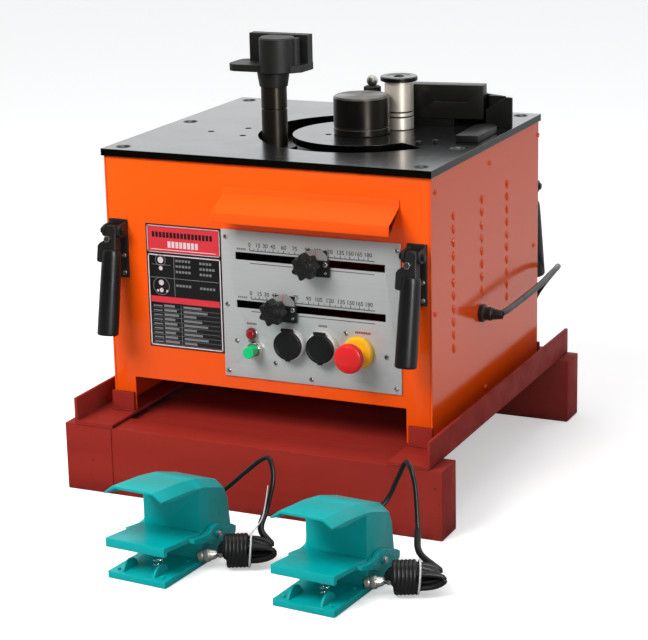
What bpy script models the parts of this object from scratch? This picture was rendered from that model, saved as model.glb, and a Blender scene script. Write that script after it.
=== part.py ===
"""Electric rebar bender on a steel skid, with two foot pedals.

Dimensions are in millimetres, measured from the floor under the middle of the top plate. +X is the
operator's right, +Y points to the back and +Z is up. When an object is made, add() scales it to metres and
moves it along Y, so that the finished frame's origin is on the floor under the middle of the front beam.
"""

import math

import bmesh
import bpy
from mathutils import Matrix, Vector

MM = 0.001
GAP = 0.3  # running gap between separate pieces
SIDES = 24  # flats round a turned piece

# Top plate and the curved slot that the bending post runs in
PLATE_X = 500.0
PLATE_Y = 446.0
PLATE_TOP = 488.0
PLATE_T = 10.0
PLATE_BOTTOM = PLATE_TOP - PLATE_T
RING_X = 54.0
RING_Y = 1.0
SLOT_INNER_R = 100.0
SLOT_OUTER_R = 150.0
SLOT_START_DEG = 62.0
SLOT_END_DEG = 328.0
PLATE_SCREWS = ((-226, -200), (-226, 200), (226, -200), (226, 200), (-227, 4), (227, -66))  # x, y
COUNTERSINK = ((0, -13), (6, -13), (6, -5), (11.5, 0.5), (11.5, 3), (0, 3))  # radius, height over the plate
SMALL_HOLES = ((-160, -58), (-119, -19), (-101, -73), (14, -27))  # x, y
SMALL_HOLE_R = 5.0

# Cabinet
CABINET_HALF_X = 247.5
CABINET_HALF_Y = 219.0
SHEET = 2.5
CABINET_FOOT = 104.6
PAN_Z = 155.0
LEG_LEFT_X = -213.0
LEG_RIGHT_X = 209.0
FRONT_Y = -CABINET_HALF_Y
PANEL_Y = FRONT_Y - GAP  # back of everything that is mounted on the front
LOUVRE_COLUMNS = ((-137.0, 11, 219.0), (-25.5, 8, 275.0), (79.7, 10, 238.0))  # y, number of slots, lowest z
LOUVRE_PITCH = 18.8
LOUVRE_W = 4.0
LOUVRE_H = 8.0

# Skid
BEAM_H = 99.0
BEAM_HALF_X = 290.0
BEAM_FRONT_Y = (-293.0, -242.0)
BEAM_REAR_Y = (244.0, 294.0)
BEAM_WALL = 4.0
ORIGIN = Vector((0, (BEAM_FRONT_Y[0] + BEAM_FRONT_Y[1]) / 2, 0))  # the finished frame's origin
RAIL_X = 273.6
RAIL_T = 5.0
RAIL_FLANGE_W = 62.0
RAIL_TOP = 138.0
DECK_Z = (90.0, 93.0)

# Tooling on the plate
POST_ORBIT_R = 127.5
POST_R = 18.8
POST_DEG = 195.0
POST_X = RING_X + POST_ORBIT_R * math.cos(math.radians(POST_DEG))
POST_Y = RING_Y + POST_ORBIT_R * math.sin(math.radians(POST_DEG))
POST_SHOULDER_Z = 555.0
HEAD_Z = (578.0, 628.0)
HEAD_FLANGE_T = 10.0
MANDREL_R = 40.5
MANDREL_H = 55.0
PIN_R = 15.0
ROLLER_X = 92.0
ROLLER_Y = 51.0
ROLLER_R = 21.0
ROLLER_TOP = 558.0
ROLLER_CAP_R = 27.0
ROLLER_PIN_R = 10.0
FENCE_YAW_DEG = 8.3
FENCE_RIGHT = (207.0, 91.0)  # lower right corner of the fence bar's working face
FENCE_LENGTH = 108.0
FENCE_DEPTH = 24.0
FENCE_Z = (500.0, 549.0)
NUT_ALONG = -170.0  # clamp nut, measured along the bar from its right end
SCREW_ALONG = -24.0
LEVER_X = 223.0
LEVER_Y = 54.0

# Gear train: wheel on the bending axis, two-step shaft, geared motor
WHEEL_MODULE = 6.0
WHEEL_TEETH = 50
PINION_TEETH = 12
STEP_MODULE = 4.0
STEP_TEETH = 30
MOTOR_TEETH = 12
WHEEL_Z = (441.0, 464.0)
STEP_Z = (404.0, 420.0)
GEAR_PLATE_Z = (384.0, 394.0)
STEP_X = RING_X - WHEEL_MODULE * (WHEEL_TEETH + PINION_TEETH) / 2
STEP_Y = RING_Y
MOTOR_X = STEP_X
MOTOR_Y = STEP_Y + STEP_MODULE * (STEP_TEETH + MOTOR_TEETH) / 2
PRESSURE_DEG = 25.0
BACKLASH = 0.35
JOURNAL_R = 30.0

# Front controls: (x, z) on the panel
PANEL_X = (-65.0, 204.0)
PANEL_Z = (174.0, 386.0)
PANEL_T = 2.0
PANEL_FACE_Y = PANEL_Y - PANEL_T
MOUNT_Y = PANEL_FACE_Y - GAP
SLOT_X = (-43.5, 181.5)
SLOT_H = 11.0
SLOT_UPPER_Z = 349.5
SLOT_LOWER_Z = 280.5
KNOB_UPPER_X = 75.0
KNOB_LOWER_X = 24.0
KNOB_R = 18.0
KNOB_OUT = 35.0  # from the panel's face to the knob's front
SLIDER_HALF_X = 26.0
SLIDER_HALF_Z = 18.5
SLIDER_T = 5.0
LAMP_XZ = (-21.0, 239.0)
START_XZ = (-16.0, 218.0)
ESTOP_XZ = (141.0, 229.0)
SOCKET_LEFT_XZ = (39.0, 231.0)
SOCKET_RIGHT_XZ = (88.0, 231.0)
SOCKET_R = 21.0

# Carry handles
HANDLE_X = 228.0
HANDLE_PIVOT_Z = 374.0
HANDLE_PIVOT_OUT = 18.0  # pivot's distance from the cabinet wall
HANDLE_LENGTH = 149.0
HANDLE_HANG_DEG = 11.0
GRIP_R = 15.2

# Power cord
GLAND_Y = -31.0
GLAND_Z = 245.0
CORD_R = 4.5

# Foot pedals: floor point under the middle of each front edge
PEDAL_LEFT = (-23.0, -568.0)
PEDAL_RIGHT = (214.0, -571.0)
PEDAL_YAW_DEG = -5.0
PEDAL_HALF_X = 44.0
TREADLE_PIVOT = (112.0, 38.0)  # (y, z) in the pedal's frame
PEDAL_FRONT_WALL_Y = 86.0
HOOD_BEVEL = (13.0, 10.0)  # width, drop
HOOD_REAR = ((86.0, 117.1), (100.0, 114.5), (146.0, 99.0), (153.0, 84.0), (160.0, 36.0))  # y, top
HOOD_FRONT = ((0.0, 127.5, 116.0), (30.0, 124.6, 109.0), (62.0, 121.5, 106.5), (88.0, 116.7, 104.0))  # and skirt
PEDAL_CORD_R = 3.0
CORD_ARCHES = {
    "left": [
        (12, 161, 62),
        (32, 172, 78),
        (60, 178, 104),
        (84, 180, 124),
        (98, 176, 126),
        (108, 166, 104),
        (104, 152, 68),
    ],
    "right": [
        (12, 161, 72),
        (24, 182, 92),
        (34, 190, 118),
        (47, 188, 142),
        (60, 178, 138),
        (68, 174, 112),
        (76, 164, 66),
    ],
}


# ---------------------------------------------------------------- shape tools


def finish(bm):
    bmesh.ops.remove_doubles(bm, verts=bm.verts, dist=1e-4)
    bmesh.ops.recalc_face_normals(bm, faces=bm.faces)
    return bm


def box(corner, opposite):
    bm = bmesh.new()
    centre = (Vector(corner) + Vector(opposite)) / 2
    size = [abs(a - b) for a, b in zip(corner, opposite)]
    bmesh.ops.create_cube(bm, size=1, matrix=Matrix.Translation(centre) @ Matrix.Diagonal((*size, 1)))
    return finish(bm)


AXIS_TURN = {
    "X": Matrix.Rotation(math.radians(90), 4, "Y"),
    "Y": Matrix.Rotation(math.radians(-90), 4, "X"),
    "Z": Matrix.Identity(4),
}


def turned(profile, place=(0, 0, 0), axis="Z", sides=SIDES):
    """A turned solid. The profile is a loop of (radius, height); radius 0 lies on the axis."""
    bm = bmesh.new()
    rings = []
    for radius, height in profile:
        if radius < 1e-6:
            rings.append([bm.verts.new((0, 0, height))] * sides)
            continue
        angles = [math.tau * i / sides for i in range(sides)]
        ring = [(radius * math.cos(a), radius * math.sin(a), height) for a in angles]
        rings.append([bm.verts.new(point) for point in ring])
    for lower, upper in zip(rings, rings[1:] + rings[:1]):
        if lower[0] is lower[1] and upper[0] is upper[1]:
            continue
        for i in range(sides):
            j = (i + 1) % sides
            corners = list(dict.fromkeys([lower[i], lower[j], upper[j], upper[i]]))
            bm.faces.new(corners)
    bm.transform(Matrix.Translation(place) @ AXIS_TURN[axis])
    return finish(bm)


def rod(radius, start, length, axis="Z", sides=SIDES, chamfer=0.0):
    """A solid round bar from start, along the axis."""
    c = chamfer
    profile = [(0, 0), (radius, 0), (radius, length), (0, length)]
    if c:
        profile[1:3] = [(radius - c, 0), (radius, c), (radius, length - c), (radius - c, length)]
    return turned(profile, start, axis, sides)


def tube(outer, inner, start, length, axis="Z", sides=SIDES):
    return turned([(inner, 0), (outer, 0), (outer, length), (inner, length)], start, axis, sides)


def prism(outline, low, high, axis="Z"):
    """An outline of (u, v) points, pushed from low to high along the axis.

    (u, v) is (x, y) for Z, (x, z) for Y and (y, z) for X.
    """

    def at(u, v, w):
        return {"Z": (u, v, w), "Y": (u, w, v), "X": (w, u, v)}[axis]

    bm = bmesh.new()
    bottom = [bm.verts.new(at(u, v, low)) for u, v in outline]
    top = [bm.verts.new(at(u, v, high)) for u, v in outline]
    bm.faces.new(bottom)
    bm.faces.new(top)
    for i in range(len(outline)):
        j = (i + 1) % len(outline)
        bm.faces.new((bottom[i], bottom[j], top[j], top[i]))
    return finish(bm)


def arc(centre, radius, start_deg, end_deg, steps):
    angles = [math.radians(start_deg + (end_deg - start_deg) * i / steps) for i in range(steps + 1)]
    return [(centre[0] + radius * math.cos(a), centre[1] + radius * math.sin(a)) for a in angles]


def skin(rings):
    """A closed skin over rings that have the same number of points."""
    bm = bmesh.new()
    made = [[bm.verts.new(point) for point in ring] for ring in rings]
    for one, two in zip(made, made[1:]):
        for k in range(len(one)):
            n = (k + 1) % len(one)
            bm.faces.new((one[k], one[n], two[n], two[k]))
    bm.faces.new(made[0])
    bm.faces.new(made[-1])
    return finish(bm)


def swept(path, radius, sides=8):
    """A round bar along a path of points, with a frame that turns as little as it can."""
    points = [Vector(p) for p in path]
    rings = []
    side = None
    for i, point in enumerate(points):
        ahead = points[min(i + 1, len(points) - 1)] - points[max(i - 1, 0)]
        ahead.normalize()
        if side is None:
            side = ahead.orthogonal().normalized()
        side = (side - ahead * side.dot(ahead)).normalized()
        other = ahead.cross(side)
        angles = [math.tau * k / sides for k in range(sides)]
        rings.append([point + radius * (math.cos(a) * side + math.sin(a) * other) for a in angles])
    return skin(rings)


def smooth_path(points, steps):
    """A Catmull-Rom curve through the points."""
    knots = [Vector(p) for p in points]
    knots = [2 * knots[0] - knots[1], *knots, 2 * knots[-1] - knots[-2]]
    path = []
    for a, b, c, d in zip(knots, knots[1:], knots[2:], knots[3:]):
        for i in range(steps):
            t = i / steps
            bend = (2 * a - 5 * b + 4 * c - d) * t**2 + (3 * b - a - 3 * c + d) * t**3
            path.append(0.5 * (2 * b + (c - a) * t + bend))
    path.append(knots[-2])
    return path


def gear_outline(module, teeth, turn_deg):
    """An involute gear, one tooth centred on turn_deg before the turn is applied."""
    pitch_r = module * teeth / 2
    base_r = pitch_r * math.cos(math.radians(PRESSURE_DEG))
    tip_r = pitch_r + 0.95 * module
    root_r = pitch_r - 1.25 * module

    def involute(radius):
        roll = math.sqrt(max((radius / base_r) ** 2 - 1, 0))
        return roll - math.atan(roll)

    half_pitch_angle = (math.pi * module / 2 - BACKLASH) / 2 / pitch_r
    start_r = max(base_r, root_r)
    side = [(r, half_pitch_angle + involute(pitch_r) - involute(r)) for r in (start_r, tip_r)]
    if start_r == base_r:
        side.insert(0, (root_r, side[0][1] + 0.06 * module / pitch_r))
    outline = []
    for tooth in range(teeth):
        middle = math.tau * tooth / teeth + math.radians(turn_deg)
        for r, half in side:
            outline.append((r * math.cos(middle - half), r * math.sin(middle - half)))
        for r, half in reversed(side):
            outline.append((r * math.cos(middle + half), r * math.sin(middle + half)))
    return outline


def moved(bm, matrix):
    bm.transform(matrix)
    return finish(bm)


def about(point, degrees, axis):
    """A turn of some degrees about an axis through a point."""
    shift = Matrix.Translation(point)
    return shift @ Matrix.Rotation(math.radians(degrees), 4, axis) @ shift.inverted()


# ---------------------------------------------------------------- objects


def material(name, colour, roughness, metallic=0.0):
    made = bpy.data.materials.new(name)
    made.use_nodes = True
    shader = made.node_tree.nodes["Principled BSDF"]
    shader.inputs["Base Color"].default_value = (*colour, 1)
    shader.inputs["Roughness"].default_value = roughness
    shader.inputs["Metallic"].default_value = metallic
    made.diffuse_color = (*colour, 1)
    return made


MATERIALS = {
    "orange_paint": ((1.0, 0.115, 0.006), 0.38, 0.0),
    "red_oxide": ((0.26, 0.017, 0.011), 0.55, 0.0),
    "black_steel": ((0.018, 0.017, 0.016), 0.32, 0.9),
    "plate_steel": ((0.06, 0.062, 0.066), 0.22, 1.0),
    "bright_steel": ((0.72, 0.69, 0.64), 0.2, 1.0),
    "gear_steel": ((0.35, 0.35, 0.36), 0.35, 1.0),
    "cast_iron": ((0.08, 0.09, 0.1), 0.6, 0.6),
    "panel_grey": ((0.42, 0.43, 0.42), 0.45, 0.3),
    "label_print": ((0.03, 0.03, 0.035), 0.4, 0.0),
    "black_plastic": ((0.012, 0.012, 0.013), 0.4, 0.0),
    "black_rubber": ((0.012, 0.012, 0.012), 0.6, 0.0),
    "red_plastic": ((0.75, 0.015, 0.025), 0.35, 0.0),
    "yellow_plastic": ((0.95, 0.5, 0.01), 0.4, 0.0),
    "green_plastic": ((0.01, 0.6, 0.17), 0.35, 0.0),
    "lamp_red": ((0.25, 0.01, 0.01), 0.15, 0.0),
    "teal_paint": ((0.0, 0.38, 0.38), 0.4, 0.0),
    "chrome": ((0.8, 0.8, 0.8), 0.12, 1.0),
}


def add(name, bm, slot=None, origin=(0, 0, 0)):
    """Makes a named object from a mesh in millimetres, with its own origin.

    Without a material slot it's a hidden cutter.
    """
    pivot = Vector(origin)
    bm.transform(Matrix.Scale(MM, 4) @ Matrix.Translation(-pivot))
    mesh = bpy.data.meshes.new(name)
    bm.to_mesh(mesh)
    bm.free()
    made = bpy.data.objects.new(name, mesh)
    made.location = (pivot - ORIGIN) * MM
    bpy.context.scene.collection.objects.link(made)
    if slot is None:
        made.hide_render = True
        made.display_type = "WIRE"
    else:
        made.data.materials.append(material(name + "_" + slot, *MATERIALS[slot]))
        mesh.shade_smooth()
        mesh.set_sharp_from_angle(angle=math.radians(32))
    return made


def boolean(target, bm, operation):
    number = len(target.modifiers) + 1
    helper = add(f"{target.name}_{operation.lower()}_{number}", bm)
    modifier = target.modifiers.new(helper.name, "BOOLEAN")
    modifier.operation = operation
    modifier.solver = "EXACT"
    modifier.object = helper


def cut(target, *shapes):
    for bm in shapes:
        boolean(target, bm, "DIFFERENCE")


def fuse(target, *shapes):
    for bm in shapes:
        boolean(target, bm, "UNION")


def clear_scene():
    for item in list(bpy.data.objects):
        bpy.data.objects.remove(item, do_unlink=True)


# ---------------------------------------------------------------- skid


def build_beam(name, y_range):
    y0, y1 = y_range
    wall = BEAM_WALL
    beam = add(name, box((-BEAM_HALF_X, y0, 0), (BEAM_HALF_X, y1, BEAM_H)), "red_oxide")
    inside = BEAM_HALF_X - wall
    cut(beam, box((-inside, y0 + wall, wall), (inside, y1 - wall, BEAM_H - wall)))
    middle = (y0 + y1) / 2
    for x in (-200.0, 200.0):
        cut(beam, rod(6, (x, middle, -2), wall + 4, sides=12))


def build_rail(name, side):
    """An angle rail with its flange outside, and a stop in front of and behind the cabinet's legs."""
    outer = side * RAIL_X
    inner = side * (RAIL_X - RAIL_FLANGE_W)
    web = side * (RAIL_X - RAIL_T)
    low = BEAM_H + GAP
    y0 = BEAM_FRONT_Y[0]
    y1 = BEAM_REAR_Y[1] - 2
    top = low + RAIL_T
    outline = [(outer, low), (inner, low), (inner, top), (web, top), (web, RAIL_TOP), (outer, RAIL_TOP)]
    rail = add(name, prism(outline, y0, y1, "Y"), "red_oxide")
    for face in (-1, 1):
        reach = face * (CABINET_HALF_Y + 1.5)
        fuse(rail, box((side * 214, reach, top - 1), (side * 250, reach + face * 5, top + 28)))


def build_skid():
    build_beam("skid_beam_front", BEAM_FRONT_Y)
    build_beam("skid_beam_rear", BEAM_REAR_Y)
    build_rail("skid_rail_left", -1)
    build_rail("skid_rail_right", 1)
    half = RAIL_X - 24
    low = (-half, BEAM_FRONT_Y[1] + GAP, DECK_Z[0])
    add("skid_deck", box(low, (half, BEAM_REAR_Y[0] - GAP, DECK_Z[1])), "red_oxide")


# ---------------------------------------------------------------- cabinet


def build_cabinet():
    """One folded sheet makes the front, the pan and the back, with flanges that the top plate lies on."""
    wide = CABINET_HALF_X - SHEET - GAP
    y = CABINET_HALF_Y
    t = SHEET
    top = PLATE_BOTTOM - GAP
    flange = 26.0
    half = [(y, CABINET_FOOT), (y, top), (y - flange, top), (y - flange, top - t)]
    half += [(y - t, top - t), (y - t, PAN_Z + t)]
    inside = [(y - t, PAN_Z), (y - t, CABINET_FOOT)]
    outline = half + [(-u, v) for u, v in reversed(half)]
    outline += [(-u, v) for u, v in reversed(inside)] + inside
    cabinet = add("cabinet_body", prism(outline, -wide, wide, "X"), "orange_paint")
    cut(cabinet, box((LEG_LEFT_X, -y - 5, 90), (LEG_RIGHT_X, y + 5, PAN_Z - GAP)))
    opening_low = (PANEL_X[0] + 12, -y - 5, PANEL_Z[0] + 14)
    opening_high = (PANEL_X[1] - 10, -y + 5, PANEL_Z[1] - 14)
    cut(cabinet, box(opening_low, opening_high))
    for side in (-1, 1):
        for face in (-1, 1):
            inner_corner = (side * (wide - t), face * (y - 20), PAN_Z + 1)
            fuse(cabinet, box(inner_corner, (side * wide, face * (y - 1), top - 1)))


def build_side_panel(name, side):
    x0, x1 = side * (CABINET_HALF_X - SHEET), side * CABINET_HALF_X
    y = CABINET_HALF_Y
    panel = add(name, box((x0, -y, CABINET_FOOT), (x1, y, PLATE_BOTTOM - GAP)), "orange_paint")
    slots = bmesh.new()
    for column_y, count, lowest in LOUVRE_COLUMNS:
        for row in range(count):
            centre = Vector(((x0 + x1) / 2, column_y, lowest + row * LOUVRE_PITCH))
            size = Matrix.Diagonal((SHEET + 4, LOUVRE_W, LOUVRE_H, 1))
            bmesh.ops.create_cube(slots, size=1, matrix=Matrix.Translation(centre) @ size)
    cut(panel, finish(slots))
    if side > 0:
        cut(panel, rod(8, (x0 - 3, GLAND_Y, GLAND_Z), SHEET + 6, "X", 24))


def build_canopy():
    """The bent ledge over the control panel."""
    y = FRONT_Y - GAP
    t = 2.0
    outer = [(y, 446), (y - t, 446), (y - t, 436), (y - 38, 418), (y - 38, 403)]
    inner = [(y - 38 + t, 403), (y - 38 + t, 417), (y, 434)]
    add("front_canopy", prism(outer + inner, -61, 203, "X"), "orange_paint")


def build_top_plate():
    half_x, half_y = PLATE_X / 2, PLATE_Y / 2
    slab = box((-half_x, -half_y, PLATE_BOTTOM), (half_x, half_y, PLATE_TOP))
    plate = add("top_plate", slab, "plate_steel")
    centre = (RING_X, RING_Y)
    slot = arc(centre, SLOT_OUTER_R, SLOT_START_DEG, SLOT_END_DEG, 36)
    slot += arc(centre, SLOT_INNER_R, SLOT_END_DEG, SLOT_START_DEG, 36)
    cut(plate, prism(slot, PLATE_BOTTOM - 3, PLATE_TOP + 3))
    for x, y in PLATE_SCREWS:
        cut(plate, turned(COUNTERSINK, (x, y, PLATE_TOP), sides=16))
    for x, y in SMALL_HOLES:
        cut(plate, rod(SMALL_HOLE_R, (x, y, PLATE_BOTTOM - 3), 20, sides=12))
    cut(plate, rod(PIN_R + GAP, (RING_X, RING_Y, PLATE_BOTTOM - 3), 20, sides=32))
    cut(plate, rod(ROLLER_PIN_R + GAP, (ROLLER_X, ROLLER_Y, PLATE_BOTTOM - 3), 20, sides=24))


# ---------------------------------------------------------------- drive


def gear(module, teeth, turn_deg, z_range, centre):
    return moved(prism(gear_outline(module, teeth, turn_deg), *z_range), Matrix.Translation(centre))


def build_wheel():
    """The toothed bending wheel with its journal, which stands in the main bearing."""
    centre = (RING_X, RING_Y, 0)
    blank = gear(WHEEL_MODULE, WHEEL_TEETH, 0, WHEEL_Z, centre)
    wheel = add("bending_wheel", blank, "gear_steel", centre)
    foot = GEAR_PLATE_Z[1] + 2
    shoulder = WHEEL_Z[0] + 2
    r = JOURNAL_R
    journal = [(0, foot), (r - 1, foot), (r, foot + 1), (r, shoulder), (0, shoulder)]
    fuse(wheel, turned(journal, centre))
    for k in range(4):
        spoke = Matrix.Rotation(math.radians(90 * k + 64), 3, "Z") @ Vector((76, 0, 0))
        spot = Vector(centre) + spoke
        cut(wheel, rod(22, (spot.x, spot.y, WHEEL_Z[0] - 3), 40, sides=12))


def build_step_gear():
    """The middle shaft: a big gear that the motor drives, and a pinion that drives the bending wheel."""
    centre = (STEP_X, STEP_Y, 0)
    low, high = GEAR_PLATE_Z
    shaft = add("step_gear", gear(STEP_MODULE, STEP_TEETH, 0, STEP_Z, centre), "gear_steel", centre)
    spindle = [(0, low - 6), (16, low - 6), (16, high + 1), (20, high + 1)]
    spindle += [(20, STEP_Z[0] + 1), (0, STEP_Z[0] + 1)]
    fuse(shaft, turned(spindle, centre))
    neck = [(0, STEP_Z[1] - 1), (26, STEP_Z[1] - 1), (26, WHEEL_Z[0] - 1), (0, WHEEL_Z[0] - 1)]
    fuse(shaft, turned(neck, centre))
    pinion_z = (WHEEL_Z[0] - 2, WHEEL_Z[1] - 0.5)
    fuse(shaft, gear(WHEEL_MODULE, PINION_TEETH, 180.0 / PINION_TEETH, pinion_z, centre))


def build_motor():
    """The geared motor under the plate, with the pinion pressed on its shaft."""
    centre = (MOTOR_X, MOTOR_Y, 0)
    low, high = GEAR_PLATE_Z
    pinion_z = (STEP_Z[0] - 1, STEP_Z[1] + 1)
    pinion = add("motor_pinion", gear(STEP_MODULE, MOTOR_TEETH, 0, pinion_z, centre), "gear_steel", centre)
    cut(pinion, rod(8, (MOTOR_X, MOTOR_Y, STEP_Z[0] - 5), 16, sides=20))
    body = [(0, 176), (52, 176), (60, 184), (60, 300), (50, 304), (50, low - GAP), (20, low - GAP)]
    body += [(20, high - 2), (7.5, high - 2), (7.5, STEP_Z[0] + 9), (0, STEP_Z[0] + 9)]
    add("geared_motor", turned(body, centre), "cast_iron")


def build_drive():
    build_wheel()
    bearing_z = GEAR_PLATE_Z[1] + GAP
    bearing_h = WHEEL_Z[0] - GAP - bearing_z
    bearing = tube(46, JOURNAL_R + GAP, (RING_X, RING_Y, bearing_z), bearing_h)
    add("main_bearing", bearing, "gear_steel")
    y = CABINET_HALF_Y - SHEET - GAP
    low, high = GEAR_PLATE_Z
    half = [(y, high), (y, low - 18), (y - 5, low - 18), (y - 5, low)]
    shelf = half + [(-u, v) for u, v in reversed(half)]
    plate = add("gear_plate", prism(shelf, -212, 112, "X"), "cast_iron")
    cut(plate, rod(16 + GAP, (STEP_X, STEP_Y, low - 3), 20))
    cut(plate, rod(22, (MOTOR_X, MOTOR_Y, low - 3), 20))
    build_step_gear()
    build_motor()


# ---------------------------------------------------------------- bending tools


def build_post():
    shoulder = POST_SHOULDER_Z
    groove = 523.0
    profile = [(0, WHEEL_Z[1] + GAP), (32, WHEEL_Z[1] + GAP), (32, 468), (POST_R, 469)]
    r = POST_R
    profile += [(r, groove - 1.2), (r - 1, groove - 0.8), (r - 1, groove + 0.8), (r, groove + 1.2)]
    profile += [(r, shoulder), (12, shoulder), (12, 604), (11, 605), (0, 605)]
    add("bending_post", turned(profile, (POST_X, POST_Y, 0)), "black_steel", (RING_X, RING_Y, 0))


def build_post_head():
    """The cast head: a hub in front, a flange with a round end, and a straight wall behind."""
    low, high = HEAD_Z
    seat = POST_SHOULDER_Z + GAP
    x, y = POST_X, POST_Y
    collar = [(0, seat), (20.5, seat), (23.5, low - 4), (23.5, low + 4), (0, low + 4)]
    head = add("post_head", turned(collar, (x, y, 0)), "black_steel", (RING_X, RING_Y, 0))
    left = arc((-47, -9), 17, 260, 180, 5) + arc((-49, 17), 15, 180, 100, 4)
    right = [(49, 30), (51.5, 26), (49.5, -9), (38, -22), (-30, -25.5)]
    flange = [(x + u, y + v) for u, v in left + right]
    fuse(head, prism(flange, low, low + HEAD_FLANGE_T))
    fuse(head, box((x - 42.3, y + 10.6, low + 2), (x + 50.7, y + 26.6, high + 1)))
    hub = [(0, low - 0.5), (24.5, low - 0.5), (26, low + 1), (26, high - 2), (24, high), (0, high)]
    fuse(head, turned(hub, (x + 11.5, y - 10, 0)))
    fuse(head, rod(7, (x + 36, y - 2, low + 3), high - low - 5, sides=16))
    fuse(head, box((x + 20, y - 4, low + 3), (x + 36, y + 14, high - 4)))
    cut(head, rod(12 + GAP, (x, y, POST_SHOULDER_Z - 4), 56, sides=32))


def build_formers():
    """The centre mandrel and the support roller, each free to turn on its pin."""
    z = PLATE_TOP + GAP
    top = PLATE_TOP + MANDREL_H
    bore = PIN_R + GAP
    r = MANDREL_R
    profile = [(bore, z), (r - 2, z), (r, z + 2), (r, top - 2.5), (r - 2.5, top), (0, top)]
    profile += [(0, top - 8), (bore, top - 8)]
    centre = (RING_X, RING_Y, 0)
    add("mandrel", turned(profile, centre, sides=30), "black_steel", centre)
    under = PLATE_BOTTOM - GAP
    pin = [(0, 466), (20, 466), (20, under), (PIN_R, under), (PIN_R, top - 10), (0, top - 10)]
    add("mandrel_pin", turned(pin, centre, sides=32), "bright_steel", centre)

    r = ROLLER_R
    hole = ROLLER_PIN_R + GAP
    groove = 501.3
    top = ROLLER_TOP
    profile = [(hole, z), (r, z), (r, groove - 0.9), (r - 1, groove - 0.5), (r - 1, groove + 0.5)]
    profile += [(r, groove + 0.9), (r, top), (hole, top)]
    centre = (ROLLER_X, ROLLER_Y, 0)
    add("support_roller", turned(profile, centre), "bright_steel", centre)
    p = ROLLER_PIN_R
    cap = ROLLER_CAP_R
    profile = [(0, 466), (p + 6, 466), (p + 6, under), (p, under), (p, top + GAP), (cap, top + GAP)]
    profile += [(cap, top + 6), (cap - 1, top + 7), (7.5, top + 7), (7.5, top + 5), (0, top + 5)]
    add("roller_pin", turned(profile, centre), "black_steel", centre)


def fence_frame():
    """Maps (along, deep, z) to the fence's place: along grows to the right, deep grows to the back."""
    place = Matrix.Translation((*FENCE_RIGHT, 0))
    return place @ Matrix.Rotation(math.radians(FENCE_YAW_DEG), 4, "Z")


def build_fence_bar(frame):
    """The bar that the steel leans on, with a foot under it and a tail that the clamp nut holds down."""
    low, high = FENCE_Z
    bottom = PLATE_TOP + GAP
    end = -FENCE_LENGTH
    bar = add("fence_bar", moved(box((end, 0, low), (0, FENCE_DEPTH, high)), frame), "black_steel")
    fuse(bar, moved(box((end + 2, 3, bottom), (-44, FENCE_DEPTH - 3, low + 2)), frame))
    fuse(bar, moved(box((NUT_ALONG - 16, 6, bottom), (end + 6, 26, low + 4)), frame))
    cut(bar, moved(box((-72, -3, 524), (-22, 1, 526.5)), frame))
    cut(bar, moved(rod(5 + GAP, (NUT_ALONG, 16, PLATE_TOP - 4), 40, sides=20), frame))
    cut(bar, moved(rod(7 + GAP, (SCREW_ALONG, 14, 520), 20, "Y", 24), frame))


def build_fence():
    """The bar, its clamp nut, its screw, the block that holds the screw, and the clamp lever."""
    frame = fence_frame()
    build_fence_bar(frame)
    bottom = PLATE_TOP + GAP
    seat = FENCE_Z[0] + 4 + GAP
    nut = [(0, bottom), (5, bottom), (5, seat), (13, seat), (13, 542), (4, 542), (7, 544.5), (8.5, 549)]
    nut += [(7.5, 554), (4, 557.5), (0, 558.5)]
    nut_at = frame @ Vector((NUT_ALONG, 16, 0))
    add("clamp_nut", moved(turned(nut, (NUT_ALONG, 16, 0), sides=18), frame), "bright_steel", nut_at)

    edge = PLATE_X / 2 - 0.5
    outline = [(209.5, 94), (209.5, 118), (146, 118), (146, 150), (188, 150), (203, 123), (225, 114)]
    outline += [(edge, 98), (edge, 94)]
    block = add("fence_block", prism(outline, bottom, 533), "black_steel")
    cut(block, prism([(205, 512), (243, 534.5), (205, 534.5)], 90, 106, "Y"))
    cut(block, moved(rod(7 + GAP, (SCREW_ALONG, 20, 520), 80, "Y", 24), frame))
    screw_at = frame @ Vector((SCREW_ALONG, 17, 520))
    screw = rod(7, (SCREW_ALONG, 17, 520), 72, "Y", 20, 1)
    add("fence_screw", moved(screw, frame), "bright_steel", screw_at)

    outline = arc((LEVER_X, LEVER_Y), 17, 0, 180, 10)
    outline += [(LEVER_X - 14, LEVER_Y - 82), (LEVER_X + 18, LEVER_Y - 77)]
    lever = prism(outline, bottom, bottom + 10)
    add("clamp_lever", lever, "black_steel", (LEVER_X, LEVER_Y, 0))


# ---------------------------------------------------------------- front controls


def build_panel():
    low = (PANEL_X[0], PANEL_FACE_Y, PANEL_Z[0])
    high = (PANEL_X[1], PANEL_Y, PANEL_Z[1])
    panel = add("control_panel", box(low, high), "panel_grey")
    start = PANEL_FACE_Y - 5
    for z in (SLOT_UPPER_Z, SLOT_LOWER_Z):
        cut(panel, box((SLOT_X[0], start, z - SLOT_H / 2), (SLOT_X[1], PANEL_Y + 5, z + SLOT_H / 2)))
    holes = [(LAMP_XZ, 6), (START_XZ, 7), (ESTOP_XZ, 11), (SOCKET_LEFT_XZ, 14), (SOCKET_RIGHT_XZ, 14)]
    for (x, z), radius in holes:
        cut(panel, rod(radius + GAP, (x, start, z), 20, "Y", 20))
    add("rating_plate", box((-185, PANEL_Y - 1, 205), (-66, PANEL_Y, 385)), "label_print")


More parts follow.
